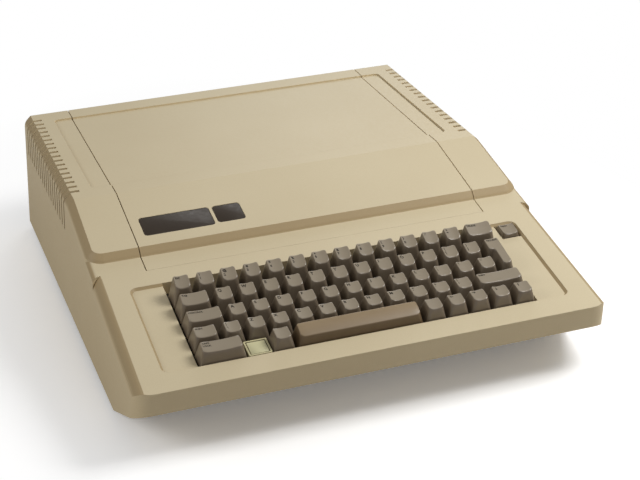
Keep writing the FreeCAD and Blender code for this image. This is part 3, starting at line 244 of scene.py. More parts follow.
MATERIALS = {
    "case_plastic": case_plastic(),
    # key and bar caps: a top colour and a darker side colour that is painted shade
    "key_plastic": caps_with_painted_side_shade("key_plastic", linear(147, 135, 116), linear(120, 107, 90), 0.3, 0.7),
    "bar_plastic": caps_with_painted_side_shade("bar_plastic", linear(146, 126, 97), linear(110, 91, 66), 0.4, 0.5),
    "name_plate": speckled("name_plate", linear(58, 49, 40), 0.5, 0.08, specular=0.3),
    "lamp_plastic": speckled("lamp_plastic", linear(205, 196, 154), 0.45, 0.04),
    "lamp_label": speckled("lamp_label", linear(214, 208, 166), 0.4, 0.03),
    # dark colour of painted shade, for the gap round the lamp label, the screw cross recesses and
    # the vent slots
    "groove": speckled("groove", linear(64, 52, 38), 0.7, 0.1),
    "base_metal": speckled("base_metal", linear(178, 168, 145), 0.5, 0.05),
    "panel_metal": speckled("panel_metal", linear(182, 170, 142), 0.5, 0.05),
    "supply_metal": brushed_metal("supply_metal", linear(176, 176, 172), 0.32),
    "connector_metal": brushed_metal("connector_metal", linear(196, 194, 190), 0.22),
    "screw_metal": brushed_metal("screw_metal", linear(150, 148, 142), 0.3),
    "solder": brushed_metal("solder", linear(186, 186, 188), 0.35),
    "speaker_metal": speckled("speaker_metal", linear(52, 52, 54), 0.5),
    "circuit_board": circuit_board(),
    "slot_plastic": speckled("slot_plastic", linear(44, 72, 56), 0.38),
    "chip_plastic": speckled("chip_plastic", linear(34, 34, 36), 0.5),
    "dark_plastic": speckled("dark_plastic", linear(46, 40, 34), 0.5),
    "foot_rubber": speckled("foot_rubber", linear(34, 33, 32), 0.8, 0.1),
    "legend_ink": speckled("legend_ink", linear(26, 20, 15), 0.7, 0.05, specular=0.2),
    "brass": brushed_metal("brass", linear(196, 164, 92), 0.3),
    "resistor_body": speckled("resistor_body", linear(186, 150, 106), 0.5, 0.08),
    "capacitor_body": speckled("capacitor_body", linear(190, 118, 52), 0.45, 0.08),
    "red_wire": speckled("red_wire", linear(156, 40, 34), 0.4, 0.06),
    "black_wire": speckled("black_wire", linear(30, 29, 30), 0.4, 0.06),
    "grey_ribbon": speckled("grey_ribbon", linear(146, 146, 142), 0.5, 0.05),
}

slot_of_node = {entry["node"]: entry["material_slot"] for entry in frame["record"]["subparts"]}
for node, item in frame["nodes"].items():
    item.data.materials.clear()
    item.data.materials.append(MATERIALS[slot_of_node[node]])


class Solids:
    """Small closed solids gathered into one mesh, written in millimetres."""

    def __init__(self):
        self.points = []
        self.faces = []

    def add(self, points, faces, place=Matrix()):
        start = len(self.points)
        self.points += [place @ Vector(p) for p in points]
        self.faces += [tuple(start + i for i in face) for face in faces]

    def slab(self, outline, low, high, place=Matrix(), edge=0.0):
        """A flat plate of any outline, with its upper edge eased by a small bevel."""
        count = len(outline)
        middle = sum((Vector(p) for p in outline), Vector((0, 0))) / count
        rings = [(0.0, low), (0.0, high - edge)] + ([(edge, high)] if edge else [])
        points = []
        for inset, height in rings:
            for x, y in outline:
                away = Vector((x, y)) - middle
                inner = Vector((x, y)) - away.normalized() * inset * 1.3
                points.append((inner.x, inner.y, height))
        faces = [tuple(reversed(range(count)))]
        for r in range(len(rings) - 1):
            for i in range(count):
                j = (i + 1) % count
                a, b = r * count, (r + 1) * count
                faces.append((a + i, a + j, b + j, b + i))
        last = (len(rings) - 1) * count
        faces.append(tuple(range(last, last + count)))
        self.add(points, faces, place)

    def box(self, low, high, place=Matrix(), edge=0.0):
        outline = [(low[0], low[1]), (high[0], low[1]), (high[0], high[1]), (low[0], high[1])]
        self.slab(outline, low[2], high[2], place, edge)

    def lathe(self, profile, place=Matrix(), sides=24):
        """A turned solid about its own Z axis, from a profile of radius and height."""
        rings = [(r, h) for r, h in profile if r > 0]
        points = [(0, 0, profile[0][1])]
        for r, h in rings:
            for i in range(sides):
                angle = 2 * math.pi * i / sides
                points.append((r * math.cos(angle), r * math.sin(angle), h))
        points.append((0, 0, profile[-1][1]))
        top = len(points) - 1
        faces = []
        for i in range(sides):
            j = (i + 1) % sides
            faces.append((0, 1 + j, 1 + i))
            for r in range(len(rings) - 1):
                a, b = 1 + r * sides, 1 + (r + 1) * sides
                faces.append((a + i, a + j, b + j, b + i))
            last = 1 + (len(rings) - 1) * sides
            faces.append((last + i, last + j, top))
        self.add(points, faces, place)

    def rod(self, path, radius, sides=8):
        """A round wire along a path of points."""
        path = [Vector(p) for p in path]
        points = [path[0]]
        side = Vector((0, 0, 1))
        for number, here in enumerate(path):
            before = path[max(0, number - 1)]
            after = path[min(len(path) - 1, number + 1)]
            along = (after - before).normalized()
            if abs(along.dot(side)) > 0.95:
                side = Vector((1, 0, 0))
            first = along.cross(side).normalized()
            second = along.cross(first)
            side = second
            for i in range(sides):
                angle = 2 * math.pi * i / sides
                points.append(here + (first * math.cos(angle) + second * math.sin(angle)) * radius)
        points.append(path[-1])
        faces = []
        top = len(points) - 1
        for i in range(sides):
            j = (i + 1) % sides
            faces.append((0, 1 + i, 1 + j))
            for r in range(len(path) - 1):
                a, b = 1 + r * sides, 1 + (r + 1) * sides
                faces.append((a + j, a + i, b + i, b + j))
            last = 1 + (len(path) - 1) * sides
            faces.append((last + j, last + i, top))
        self.add(points, faces)

    def piece(self, name, body, slot_name, material=None, stands_for=(), sharp=40.0):
        """Make the mesh, put it on its body and give it its finish."""
        data = bpy.data.meshes.new(name)
        data.from_pydata([p * MM for p in self.points], [], self.faces)
        data.validate()
        data.shade_smooth()
        data.set_sharp_from_angle(angle=math.radians(sharp))
        data.materials.append(MATERIALS[material or slot_name])
        item = bpy.data.objects.new(name, data)
        scene.collection.objects.link(item)
        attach(item, body)
        if stands_for:
            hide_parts(*stands_for)
        return item


def rounded_outline(low, high, radius, steps=6):
    """Points round a rectangle with rounded corners, seen from above."""
    points = []
    corners = ((high[0], high[1], 0), (low[0], high[1], 90), (low[0], low[1], 180),
               (high[0], low[1], 270))
    for x, y, start in corners:
        centre_x = x - radius if start in (0, 270) else x + radius
        centre_y = y - radius if start in (0, 90) else y + radius
        for step in range(steps + 1):
            angle = math.radians(start + 90 * step / steps)
            points.append((centre_x + radius * math.cos(angle),
                           centre_y + radius * math.sin(angle)))
    return points


def moved(x, y, z):
    return Matrix.Translation((x, y, z))


def turned(x, y, z, degrees, axis):
    return moved(x, y, z) @ Matrix.Rotation(math.radians(degrees), 4, axis)


# The sloping deck's own frame, as in the part: across, up the deck, and out of it

CASE_DEPTH = 457.0
NOSE_TOP_HEIGHT = 60.1
STEP_BASE_HEIGHT = 90.75
STEP_SETBACK = 161.5
deck_angle = math.atan2(STEP_BASE_HEIGHT - NOSE_TOP_HEIGHT, STEP_SETBACK)
deck_frame = (Matrix.Translation((0, -CASE_DEPTH / 2 * MM, NOSE_TOP_HEIGHT * MM))
              @ Matrix.Rotation(deck_angle, 4, "X"))
deck_place = moved(0, -CASE_DEPTH / 2, NOSE_TOP_HEIGHT) @ Matrix.Rotation(deck_angle, 4, "X")


# Key caps

PITCH = 19.05
KEY_GAP = 0.9
KEYBOARD_FRONT = 20.9
KEYBOARD_UNITS = 14.5
ROW_COUNT = 5
SKIRT = 5.0
CAP_INSETS = (3.2, 2.6, 2.9)
RESET_INSETS = (1.4, 1.4, 1.4)
BAR_INSETS = (3.2, 2.0, 2.9)
BAR_FALL = 3.0
SPACE_UNITS = 5.5
DISH_DEPTH = 1.05
CAP_WALL = 1.4
ROOF_DROP = 3.1
STEM_HALF = 1.8
STEM_LOW = -7.6
EDGE_ROUND = 0.75
BASE_CORNER = 1.1
TOP_CORNER = 2.0
FRONT_ROUNDING = 1.7
ROW_HEIGHTS = {1: 13.3, 2: 10.8, 3: 9.2, 4: 9.0, 5: 9.7}
ROW_TILTS = {1: 14.0, 2: 9.0, 3: 4.0, 4: 1.0, 5: 1.0}
RETURN_HEIGHT = 10.0
RETURN_DISH_SHARE = 0.5
RESET_WIDTH = 15.8
RESET_LENGTH = 16.8
RESET_HEIGHT = 1.5
RESET_PLACE = (156.5, 116.0)
# how finely a cap is divided
CORNER_POINTS = 7
SIDE_POINTS = 9
SIDE_STEPS = 6
ROUND_STEPS = 5
TOP_STEPS = 8
# eased lower rim, inset of the top rounding as a share of it, and longest corner of a side
RIM_EASE = 0.25
ROUND_INSET = 0.9
CORNER_LIMIT = 0.45


class Cap:
    """The form of one cap, from the outline of its skirt to its dished top."""

    def __init__(self, corners, signs, centre, height, tilt, dish_depth, insets=CAP_INSETS,
                 fall=0.0):
        self.corners = corners
        self.fall = fall
        self.rear = max(y for x, y in corners) - insets[2]
        self.signs = signs
        self.centre = centre
        self.height = height
        self.tilt = math.tan(math.radians(tilt))
        self.dish_depth = dish_depth
        self.insets = insets
        self.front = min(y for x, y in corners) + insets[1]
        left = min(x for x, y in corners) + insets[0]
        right = max(x for x, y in corners) - insets[0]
        self.dish_middle = (left + right) / 2
        self.dish_half = (right - left) / 2

    def top(self, x, y):
        """Height of the finished top over the deck."""
        offset = min(1.0, abs(x - self.dish_middle) / self.dish_half)
        sink = self.dish_depth * (1 - offset * offset)
        forward = max(0.0, self.rear - y) / (self.rear - self.front)
        return self.height + self.tilt * (y - self.front) - sink - self.fall * forward ** 2

    def outline(self, share, radius, extra=0.0, front_rounding=FRONT_ROUNDING):
        """Points round the cap, with a share of the full taper and an extra inset."""
        side, front, rear = (inset * share + extra for inset in self.insets)
        points = []
        drawn_in = [
            (x - sx * side, y - (rear if sy > 0 else -front))
            for (x, y), (sx, sy) in zip(self.corners, self.signs)
        ]
        count = len(drawn_in)
        for i, corner in enumerate(drawn_in):
            before = Vector(drawn_in[i - 1]) - Vector(corner)
            after = Vector(drawn_in[(i + 1) % count]) - Vector(corner)
            own = radius * (front_rounding if self.signs[i][1] < 0 else 1.0)
            limit = min(own, before.length * CORNER_LIMIT, after.length * CORNER_LIMIT)
            inward, onward = before.normalized(), after.normalized()
            middle = Vector(corner) + (inward + onward) * limit
            start = middle - onward * limit
            end = middle - inward * limit
            for step in range(CORNER_POINTS):
                angle = math.pi / 2 * step / (CORNER_POINTS - 1)
                points.append(middle + (start - middle) * math.cos(angle)
                              + (end - middle) * math.sin(angle))
            following = Vector(drawn_in[(i + 1) % count])
            next_sign = self.signs[(i + 1) % count][1]
            next_radius = radius * (front_rounding if next_sign < 0 else 1.0)
            next_radius = min(next_radius, after.length * CORNER_LIMIT)
            last = following - onward * next_radius
            for step in range(1, SIDE_POINTS + 1):
                points.append(end.lerp(last, step / (SIDE_POINTS + 1)))
        return points

    def build(self, name):
        rings = []

        def ring(points, height):
            """height is a number, or the drop below the top as a function of place."""
            rings.append([(p.x, p.y, height(p) if callable(height) else height) for p in points])

        total = SKIRT + self.height
        edge = min(EDGE_ROUND, self.height * CORNER_LIMIT)
        roof = self.height - ROOF_DROP
        # outer skin, upwards
        low = -SKIRT + RIM_EASE
        ring(self.outline(0.0, BASE_CORNER, RIM_EASE), -SKIRT)
        ring(self.outline(0.0, BASE_CORNER), low)
        for step in range(1, SIDE_STEPS + 1):
            share = step / SIDE_STEPS
            radius = BASE_CORNER + (TOP_CORNER - BASE_CORNER) * share
            points = self.outline(share * (1 - edge / total), radius)
            ring(points, lambda p, s=share: low + (self.top(p.x, p.y) - edge - low) * s)
        for step in range(1, ROUND_STEPS + 1):
            angle = math.pi / 2 * step / ROUND_STEPS
            share = 1 - edge / total * (1 - math.sin(angle))
            points = self.outline(share, TOP_CORNER, edge * (1 - math.cos(angle)) * ROUND_INSET)
            drop = edge * (1 - math.sin(angle))
            ring(points, lambda p, d=drop: self.top(p.x, p.y) - d)
        outer_top = self.outline(1.0, TOP_CORNER, edge * ROUND_INSET)
        middle = Vector(self.centre)
        for step in range(1, TOP_STEPS):
            share = 1 - step / TOP_STEPS
            points = [middle + (p - middle) * share for p in outer_top]
            ring(points, lambda p: self.top(p.x, p.y))
        # inner skin, downwards from the skirt's inner edge
        inner_rings = []
        for share, height in ((0.0, -SKIRT), ((SKIRT + roof) / total, roof)):
            points = self.outline(share, BASE_CORNER, CAP_WALL, 1.0)
            inner_rings.append([(p.x, p.y, height) for p in points])
        stem_points = []
        for p in self.outline(0.0, BASE_CORNER, CAP_WALL, 1.0):
            reach = max(abs(p.x), abs(p.y), 1e-6)
            stem_points.append(Vector((p.x / reach * STEM_HALF, p.y / reach * STEM_HALF)))
        inner_rings.append([(p.x, p.y, roof) for p in stem_points])
        inner_rings.append([(p.x, p.y, STEM_LOW) for p in stem_points])
        top_point = (middle.x, middle.y, self.top(middle.x, middle.y))
        return self.skin(name, inner_rings[::-1] + rings, (0.0, 0.0, STEM_LOW), top_point)

    def skin(self, name, rings, low_point, top_point):
        count = len(rings[0])
        vertices = [low_point] + [p for r in rings for p in r] + [top_point]
        faces = []
        for i in range(count):
            j = (i + 1) % count
            faces.append((0, 1 + j, 1 + i))
            for r in range(len(rings) - 1):
                a, b = 1 + r * count, 1 + (r + 1) * count
                faces.append((a + i, a + j, b + j, b + i))
            last = 1 + (len(rings) - 1) * count
            faces.append((last + i, last + j, len(vertices) - 1))
        data = bpy.data.meshes.new(name)
        data.from_pydata([Vector(v) * MM for v in vertices], [], faces)
        data.validate()
        data.shade_smooth()
        data.set_sharp_from_angle(angle=math.radians(50))
        return data


def plain_cap(units, row):
    """A rectangular cap of a width in key units."""
    half_x = (units * PITCH - KEY_GAP) / 2
    half_y = (PITCH - KEY_GAP) / 2
    corners = [(-half_x, -half_y), (half_x, -half_y), (half_x, half_y), (-half_x, half_y)]
    signs = [(-1, -1), (1, -1), (1, 1), (-1, 1)]
    if units == SPACE_UNITS:
        return Cap(corners, signs, (0.0, 0.0), ROW_HEIGHTS[row], ROW_TILTS[row], 0.0, BAR_INSETS,
                   BAR_FALL)
    return Cap(corners, signs, (0.0, 0.0), ROW_HEIGHTS[row], ROW_TILTS[row], DISH_DEPTH)


def return_cap():
    """The L-shaped cap: a full key above, three quarters of one below."""
    half = (PITCH - KEY_GAP) / 2
    notch = half - (0.75 * PITCH - KEY_GAP)
    low = half - (2 * PITCH - KEY_GAP)
    corners = [(notch, low), (half, low), (half, half), (-half, half), (-half, -half),
               (notch, -half)]
    signs = [(-1, -1), (1, -1), (1, 1), (-1, 1), (-1, -1), (-1, -1)]
    return Cap(corners, signs, ((notch + half) / 2, 0.0), RETURN_HEIGHT, ROW_TILTS[3],
               DISH_DEPTH * RETURN_DISH_SHARE)


def reset_cap():
    """The small cap in the right-hand recess."""
    half_x, half_y = RESET_WIDTH / 2, RESET_LENGTH / 2
    corners = [(-half_x, -half_y), (half_x, -half_y), (half_x, half_y), (-half_x, half_y)]
    signs = [(-1, -1), (1, -1), (1, 1), (-1, 1)]
    return Cap(corners, signs, (0.0, 0.0), RESET_HEIGHT, 0.0, DISH_DEPTH, RESET_INSETS)


# Legends

glyph_cache = {}


def glyph(text, size):
    """Points and faces of a short flat word, its lower left corner at the origin."""
    if (text, size) not in glyph_cache:
        curve = bpy.data.curves.new("glyph", "FONT")
        curve.body = text
        curve.size = size
        curve.extrude = 0.5
        curve.offset = INK_SPREAD * size
        curve.resolution_u = 3
        item = bpy.data.objects.new("glyph", curve)
        data = bpy.data.meshes.new_from_object(item)
        points = [tuple(v.co) for v in data.vertices]
        faces = [tuple(p.vertices) for p in data.polygons]
        bpy.data.meshes.remove(data)
        bpy.data.objects.remove(item)
        bpy.data.curves.remove(curve)
        left = min((p[0] for p in points), default=0.0)
        glyph_cache[text, size] = [(x - left, y, z) for x, y, z in points], faces
    return glyph_cache[text, size]


def arrow(direction, size):
    """A small arrow: a shaft and a head, pointing along x before it is turned."""
    shape = [(0.0, 0.42), (0.55, 0.42), (0.55, 0.2), (1.0, 0.5), (0.55, 0.8), (0.55, 0.58),
             (0.0, 0.58)]
    turn_point = {"right": lambda x, y: (x, y), "left": lambda x, y: (1 - x, y),
                  "up": lambda x, y: (y, x), "down": lambda x, y: (y, 1 - x)}[direction]
    flat = [turn_point(x, y) for x, y in shape]
    triangles = tessellate_polygon([[Vector((x, y, 0)) for x, y in flat]])
    count = len(flat)
    points = [(x * size, y * size, z) for z in (-0.5, 0.5) for x, y in flat]
    faces = [tuple(count + i for i in t) for t in triangles] + [tuple(t) for t in triangles]
    faces += [(i, (i + 1) % count, (i + 1) % count + count, i + count) for i in range(count)]
    return points, faces


INK_SPREAD = 0.035
INK_PROUD = 0.02
INK_DEEP = 0.06
LEGEND_LEFT = 1.5
LEGEND_REAR = 1.5
LEGEND_GAP = 1.1


def legend(cap, lines, name):
    """One mesh with every mark of a cap, laid on its dished top, or None for a bare cap."""
    vertices, faces = [], []
    side, front, rear = cap.insets
    left = min(x for x, y in cap.corners) + side + LEGEND_LEFT
    if len(cap.corners) > 4:
        left = cap.corners[3][0] + side + LEGEND_LEFT
    cursor = max(y for x, y in cap.corners) - rear - LEGEND_REAR
    for kind, text, size in lines:
        points, own = arrow(text, size) if kind == "arrow" else glyph(text, size)
        if not points:
            continue
        top = max(p[1] for p in points)
        low = min(p[1] for p in points)
        start = len(vertices)
        for x, y, z in points:
            px, py = left + x, cursor - top + y
            lift = INK_PROUD if z > 0 else -INK_DEEP
            vertices.append(Vector((px, py, cap.top(px, py) + lift)) * MM)
        faces += [tuple(start + i for i in f) for f in own]
        cursor -= (top - low) + LEGEND_GAP
    if not vertices:
        return None
    data = bpy.data.meshes.new(name)
    data.from_pydata(vertices, [], faces)
    data.validate()
    return data


LETTER = 3.9
SIGN = 3.2
WORD = 2.4
ARROW = 3.4


def word(text):
    return [("text", text, WORD)]


def pair(upper, lower):
    return [("text", upper, SIGN), ("text", lower, SIGN)]


NUMBER_LEGENDS = [pair(u, l) for u, l in zip("!@#$%^&*()_+", "1234567890-=")]
GROUPED = "number_and_symbol_keys"
ROWS = {
    1: [("escape_key", 1, word("ESC"))] + [(GROUPED, 1, l) for l in NUMBER_LEGENDS]
       + [("delete_key", 1.5, word("DELETE"))],
    2: [("tab_key", 1.5, word("TAB"))]
       + [("key_" + c, 1, [("text", c.upper(), LETTER)]) for c in "qwertyuiop"]
       + [(GROUPED, 1, pair("{", "[")), (GROUPED, 1, pair("}", "]"))],
    3: [("control_key", 1.75, word("CONTROL"))]
       + [("key_" + c, 1, [("text", c.upper(), LETTER)]) for c in "asdfghjkl"]
       + [(GROUPED, 1, pair(":", ";")), (GROUPED, 1, pair('"', "'")), (GROUPED, 1, pair("~", "`"))],
    4: [("left_shift_key", 1.25, word("SHIFT")), (GROUPED, 1, pair("|", "\\"))]
       + [("key_" + c, 1, [("text", c.upper(), LETTER)]) for c in "zxcvbnm"]
       + [(GROUPED, 1, pair("<", ",")), (GROUPED, 1, pair(">", ".")), (GROUPED, 1, pair("?", "/"))]
       + [("right_shift_key", 2.25, word("SHIFT"))],
    5: [("caps_lock_key", 2, word("CAPS") + word("LOCK")), (None, 1, []),
        ("left_function_key", 1, []), ("space_bar", SPACE_UNITS, []), ("right_function_key", 1, []),
        ("left_arrow_key", 1, [("arrow", "left", ARROW)]),
        ("right_arrow_key", 1, [("arrow", "right", ARROW)]),
        ("down_arrow_key", 1, [("arrow", "down", ARROW)]),
        ("up_arrow_key", 1, [("arrow", "up", ARROW)])],
}


def place_cap(node, piece_name, cap, data, lines, across, along):
    """Set a cap and its legend on the deck, standing for the CAD node."""
    place = deck_frame @ Matrix.Translation((across * MM, along * MM, 0))
    item = bpy.data.objects.new(piece_name, data)
    scene.collection.objects.link(item)
    item.matrix_world = place
    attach(item, node)
    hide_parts(node)
    marks = legend(cap, lines, piece_name + "_marks")
    if marks:
        marks.materials.append(MATERIALS["legend_ink"])
        item = bpy.data.objects.new(piece_name + "_marks", marks)
        scene.collection.objects.link(item)
        item.matrix_world = place
        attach(item, node)


cap_forms = {}


def cap_form(key, maker):
    if key not in cap_forms:
        cap = maker()
        data = cap.build("cap_%s" % str(key).strip("()").replace(", ", "_").replace(".", "_"))
        is_bar = key == (5, SPACE_UNITS)
        data.materials.append(MATERIALS["bar_plastic" if is_bar else "key_plastic"])
        cap_forms[key] = cap, data
    return cap_forms[key]


def row_centre(row):
    return KEYBOARD_FRONT + (ROW_COUNT - row + 0.5) * PITCH


keyboard_left = -KEYBOARD_UNITS * PITCH / 2
grouped_count = 0
for row, keys in ROWS.items():
    reached = 0.0
    for node, units, lines in keys:
        across = keyboard_left + (reached + units / 2) * PITCH
        reached += units
        if node is None:
            continue
        cap, data = cap_form((row, units), lambda: plain_cap(units, row))
        name = node + "_cap"
        if node == GROUPED:
            grouped_count += 1
            name = "number_or_symbol_cap_%02d" % grouped_count
        place_cap(node, name, cap, data, lines, across, row_centre(row))
cap, data = cap_form("return", return_cap)
place_cap("return_key", "return_key_cap", cap, data, word("RETURN"),
          keyboard_left + (KEYBOARD_UNITS - 0.5) * PITCH, row_centre(2))
cap, data = cap_form("reset", reset_cap)
place_cap("reset_key", "reset_key_cap", cap, data, word("RESET"), *RESET_PLACE)


# Bare name plates in their pockets on the lid's slope

STEP_TOP_HEIGHT = 97.65
STEP_LEAN = 5.5
CASE_HEIGHT = 114.3
BEND_SETBACK = 243.8
NOSE = -CASE_DEPTH / 2
slope_angle = math.degrees(math.atan2(
    CASE_HEIGHT - STEP_TOP_HEIGHT, BEND_SETBACK - STEP_SETBACK - STEP_LEAN))
slope_place = turned(0, NOSE + STEP_SETBACK + STEP_LEAN, STEP_TOP_HEIGHT, slope_angle, "X")
PLATES = {"wide_name_plate": ((-138.5, 13.5), (60.0, 24.8)),
          "narrow_name_plate": ((-75.5, 14.9), (23.8, 23.2))}
PLATE_CORNER = 2.8
PLATE_LOW = -0.8
PLATE_HIGH = -0.12
for name, ((left, front), (width, length)) in PLATES.items():
    plate = Solids()
    plate.slab(rounded_outline((left, front), (left + width, front + length), PLATE_CORNER),
               PLATE_LOW, PLATE_HIGH, slope_place, 0.2)
    plate.piece(name, "lid", "name_plate")

# The lamp plate's label, with painted shade round it: a dark sheet under the gap round the label

LAMP_LENGTH = 17.4
GROOVE_HALF = 7.8
GROOVE_MARGIN = 1.35
GROOVE_LOW = -0.9
LABEL_HALF = 7.2
LABEL_MARGIN = 1.95
LABEL_LOW = -0.78
LABEL_HIGH = -0.42
lamp_middle = keyboard_left + 2.5 * PITCH
lamp_front = row_centre(5) - LAMP_LENGTH / 2


def lamp_outline(half, margin, corner):
    return rounded_outline((lamp_middle - half, lamp_front + margin),
                           (lamp_middle + half, lamp_front + LAMP_LENGTH - margin), corner)


# painted shade: a dark sheet that shows through the gap round the label, standing for the shade in
# that groove
groove = Solids()
groove.slab(lamp_outline(GROOVE_HALF, GROOVE_MARGIN, 0.6), GROOVE_LOW, LABEL_LOW, deck_place)
groove.piece("lamp_label_painted_shade", "case", "dark_plastic", "groove")
label = Solids()
label.slab(lamp_outline(LABEL_HALF, LABEL_MARGIN, 0.8), LABEL_LOW, LABEL_HIGH, deck_place, 0.15)
label.piece("lamp_label", "case", "lamp_plastic", "lamp_label")


# Screws under the machine

SCREW_SIDES = 20


def screw(solids, place, radius=3.0, height=1.2):
    """A turned pan head."""
    solids.lathe([(0, 0), (radius, 0), (radius, height * 0.45), (radius * 0.9, height * 0.8),
                  (radius * 0.6, height), (0, height)], place, SCREW_SIDES)


def painted_cross_shade(solids, place, radius=3.0, height=1.2):
    """Painted shade of the cross recess on a screw's head, as two thin dark strips."""
    reach, half = radius * 0.55, radius * 0.11
    for low, high in (((-reach, -half), (reach, half)), ((-half, -reach), (half, reach))):
        solids.box((low[0], low[1], height - 0.1), (high[0], high[1], height + 0.03), place)


BASE_LOW = 4.4
under_screws, under_cross_shade = Solids(), Solids()
UNDER_PLACES = [(x, y) for x in (-186, 186) for y in (-132, -10, 112, 214)]
UNDER_PLACES += [(x, -139) for x in (-90, 0, 90)] + [(x, 219) for x in (-90, 0, 90)]
UNDER_PLACES += [(-128.0, -36), (-128.0, 180), (-50, 60), (60, 60)]
for x, y in UNDER_PLACES:
    place = turned(x, y, BASE_LOW, 180, "X")
    screw(under_screws, place)
    painted_cross_shade(under_cross_shade, place)
under_screws.piece("bottom_screws", "case", "connector_metal", "screw_metal")
# the dark screw crosses are painted shade of the cross recesses
under_cross_shade.piece("bottom_screw_cross_shade", "case", "dark_plastic", "groove")


# Screws on the rear panel, ribs and posts on the port covers

PANEL_FACE = 223.9
COVER_FACE = 225.1
PANEL_SCREW = (2.4, 1.0)
POST_SCREW = (1.8, 0.9)
POST_REACH = 10.4
RIB_STEP = 6
PORT_CENTRES = [14 + 24 * number for number in range(7)]
SMALL_PORT_CENTRES = [20 + 34 * number for number in range(5)]
SMALL_PORT_HEIGHT = 22.0
PANEL_SCREWS = ((-172, 84), (-100, 84), (-30, 84), (175.5, 84), (175.5, 14), (-30, 14), (-108, 14))


def facing_rear(x, y, z):
    return turned(x, y, z, -90, "X")


rear_screws, rear_cross_shade, cover_ribs = Solids(), Solids(), Solids()
for x, z in PANEL_SCREWS:
    screw(rear_screws, facing_rear(x, PANEL_FACE, z), *PANEL_SCREW)
    painted_cross_shade(rear_cross_shade, facing_rear(x, PANEL_FACE, z), *PANEL_SCREW)
for x in PORT_CENTRES:
    for z in range(52, 84, RIB_STEP):
        cover_ribs.box((-5.5, -0.8, -0.2), (5.5, 0.8, 0.5), facing_rear(x, COVER_FACE, z), 0.25)
for x in SMALL_PORT_CENTRES:
    shield = rounded_outline((-7.5, -3.2), (7.5, 3.2), 2.4)
    cover_ribs.slab(shield, -0.2, 0.6, facing_rear(x, COVER_FACE, SMALL_PORT_HEIGHT), 0.25)
    for side in (-POST_REACH, POST_REACH):
        screw(rear_screws, facing_rear(x + side, COVER_FACE, SMALL_PORT_HEIGHT), *POST_SCREW)
rear_screws.piece("rear_screws", "case", "connector_metal", "screw_metal")
# the dark screw crosses are painted shade of the cross recesses
rear_cross_shade.piece("rear_screw_cross_shade", "case", "dark_plastic", "groove")
cover_ribs.piece("port_cover_ribs", "case", "dark_plastic")

# What stands on the main board: pins, contacts, small electric pieces and screws

BOARD_TOP = 13.5
PIN_STEP = 2.54
# first centre across, step, count, width, length and the front ends of the rows
CHIP_ROWS = ((20, 19, 8, 7.6, 19.5, (-126.5, -98.5, -70.5, 19.5, 47.5)),
             (20, 24, 6, 14.0, 32.0, (-36.5,)),
             (-92, 0, 1, 14.0, 52.0, (-36.5,)))
CHIP_TOP = 17.5
SLOT_LENGTH = 82.0
SLOT_PLACES = [(14 + 24 * number, 181.5) for number in range(7)] + [(-38, 71.5)]
CONTACT_COUNT = 25
RESISTOR_PLACES = [(x, y) for x in (-66, -52) for y in range(20, 92, 6)]
ELECTROLYTIC_PLACES = ((-86, 112), (-72, 112), (-86, 128), (-72, 128))
BOARD_SCREW = (2.6, 1.3)
DISC_GAP = 4.2
DISC_HEIGHT = 3.4
WIRE_HEIGHT = 1.7
BOARD_SCREWS = ((-94, -126.5), (166, -126.5), (-94, 190), (166, 208.5), (36, 208.5))


def standing(x, y):
    return moved(x, y, BOARD_TOP)


chips = [(first + step * column, front, width, length)
         for first, step, count, width, length, fronts in CHIP_ROWS
         for column in range(count) for front in fronts]
pins, dots, discs, leads = Solids(), Solids(), Solids(), Solids()
for x, front, width, length in chips:
    count = int((length - 1.0) / PIN_STEP)
    start = front + (length - (count - 1) * PIN_STEP) / 2
    dots.lathe([(0, -0.2), (0.8, -0.2), (0.8, 0.04), (0, 0.04)],
               moved(x - width / 4, front + length - 1.8, CHIP_TOP), 12)
    for number in range(count):
        y = start + number * PIN_STEP
        for side in (-1, 1):
            inner, outer = x + side * (width / 2 - 0.1), x + side * (width / 2 + 0.8)
            low, high = sorted((inner, outer))
            pins.box((low, y - 0.6, BOARD_TOP + 1.9), (high, y + 0.6, BOARD_TOP + 2.15))
            low, high = sorted((outer, outer - side * 0.25))
            pins.box((low, y - 0.25, BOARD_TOP), (high, y + 0.25, BOARD_TOP + 1.9))
    y = front + length + DISC_GAP
    discs.lathe([(0, -0.7), (1.8, -0.7), (2.2, -0.35), (2.2, 0.35), (1.8, 0.7), (0, 0.7)],
                turned(x, y, BOARD_TOP + DISC_HEIGHT, 90, "X"), 16)
    for side in (-1.2, 1.2):
        leads.rod([(x + side, y, BOARD_TOP), (x + side, y, BOARD_TOP + 2.4)], 0.22, 6)
pins.piece("chip_pins", "case", "connector_metal", "solder")
dots.piece("chip_dots", "case", "chip_plastic", "speaker_metal")
discs.piece("disc_capacitors", "case", "chip_plastic", "capacitor_body")

contacts = Solids()
for x, rear in SLOT_PLACES:
    start = rear - SLOT_LENGTH / 2 - (CONTACT_COUNT - 1) / 2 * PIN_STEP
    for number in range(CONTACT_COUNT):
        y = start + number * PIN_STEP
        for side in (-1, 1):
            low, high = sorted((x + side * 1.55, x + side * 1.15))
            contacts.box((low, y - 0.7, BOARD_TOP + 6), (high, y + 0.7, BOARD_TOP + 13.8))
contacts.piece("slot_contacts", "case", "connector_metal", "brass")

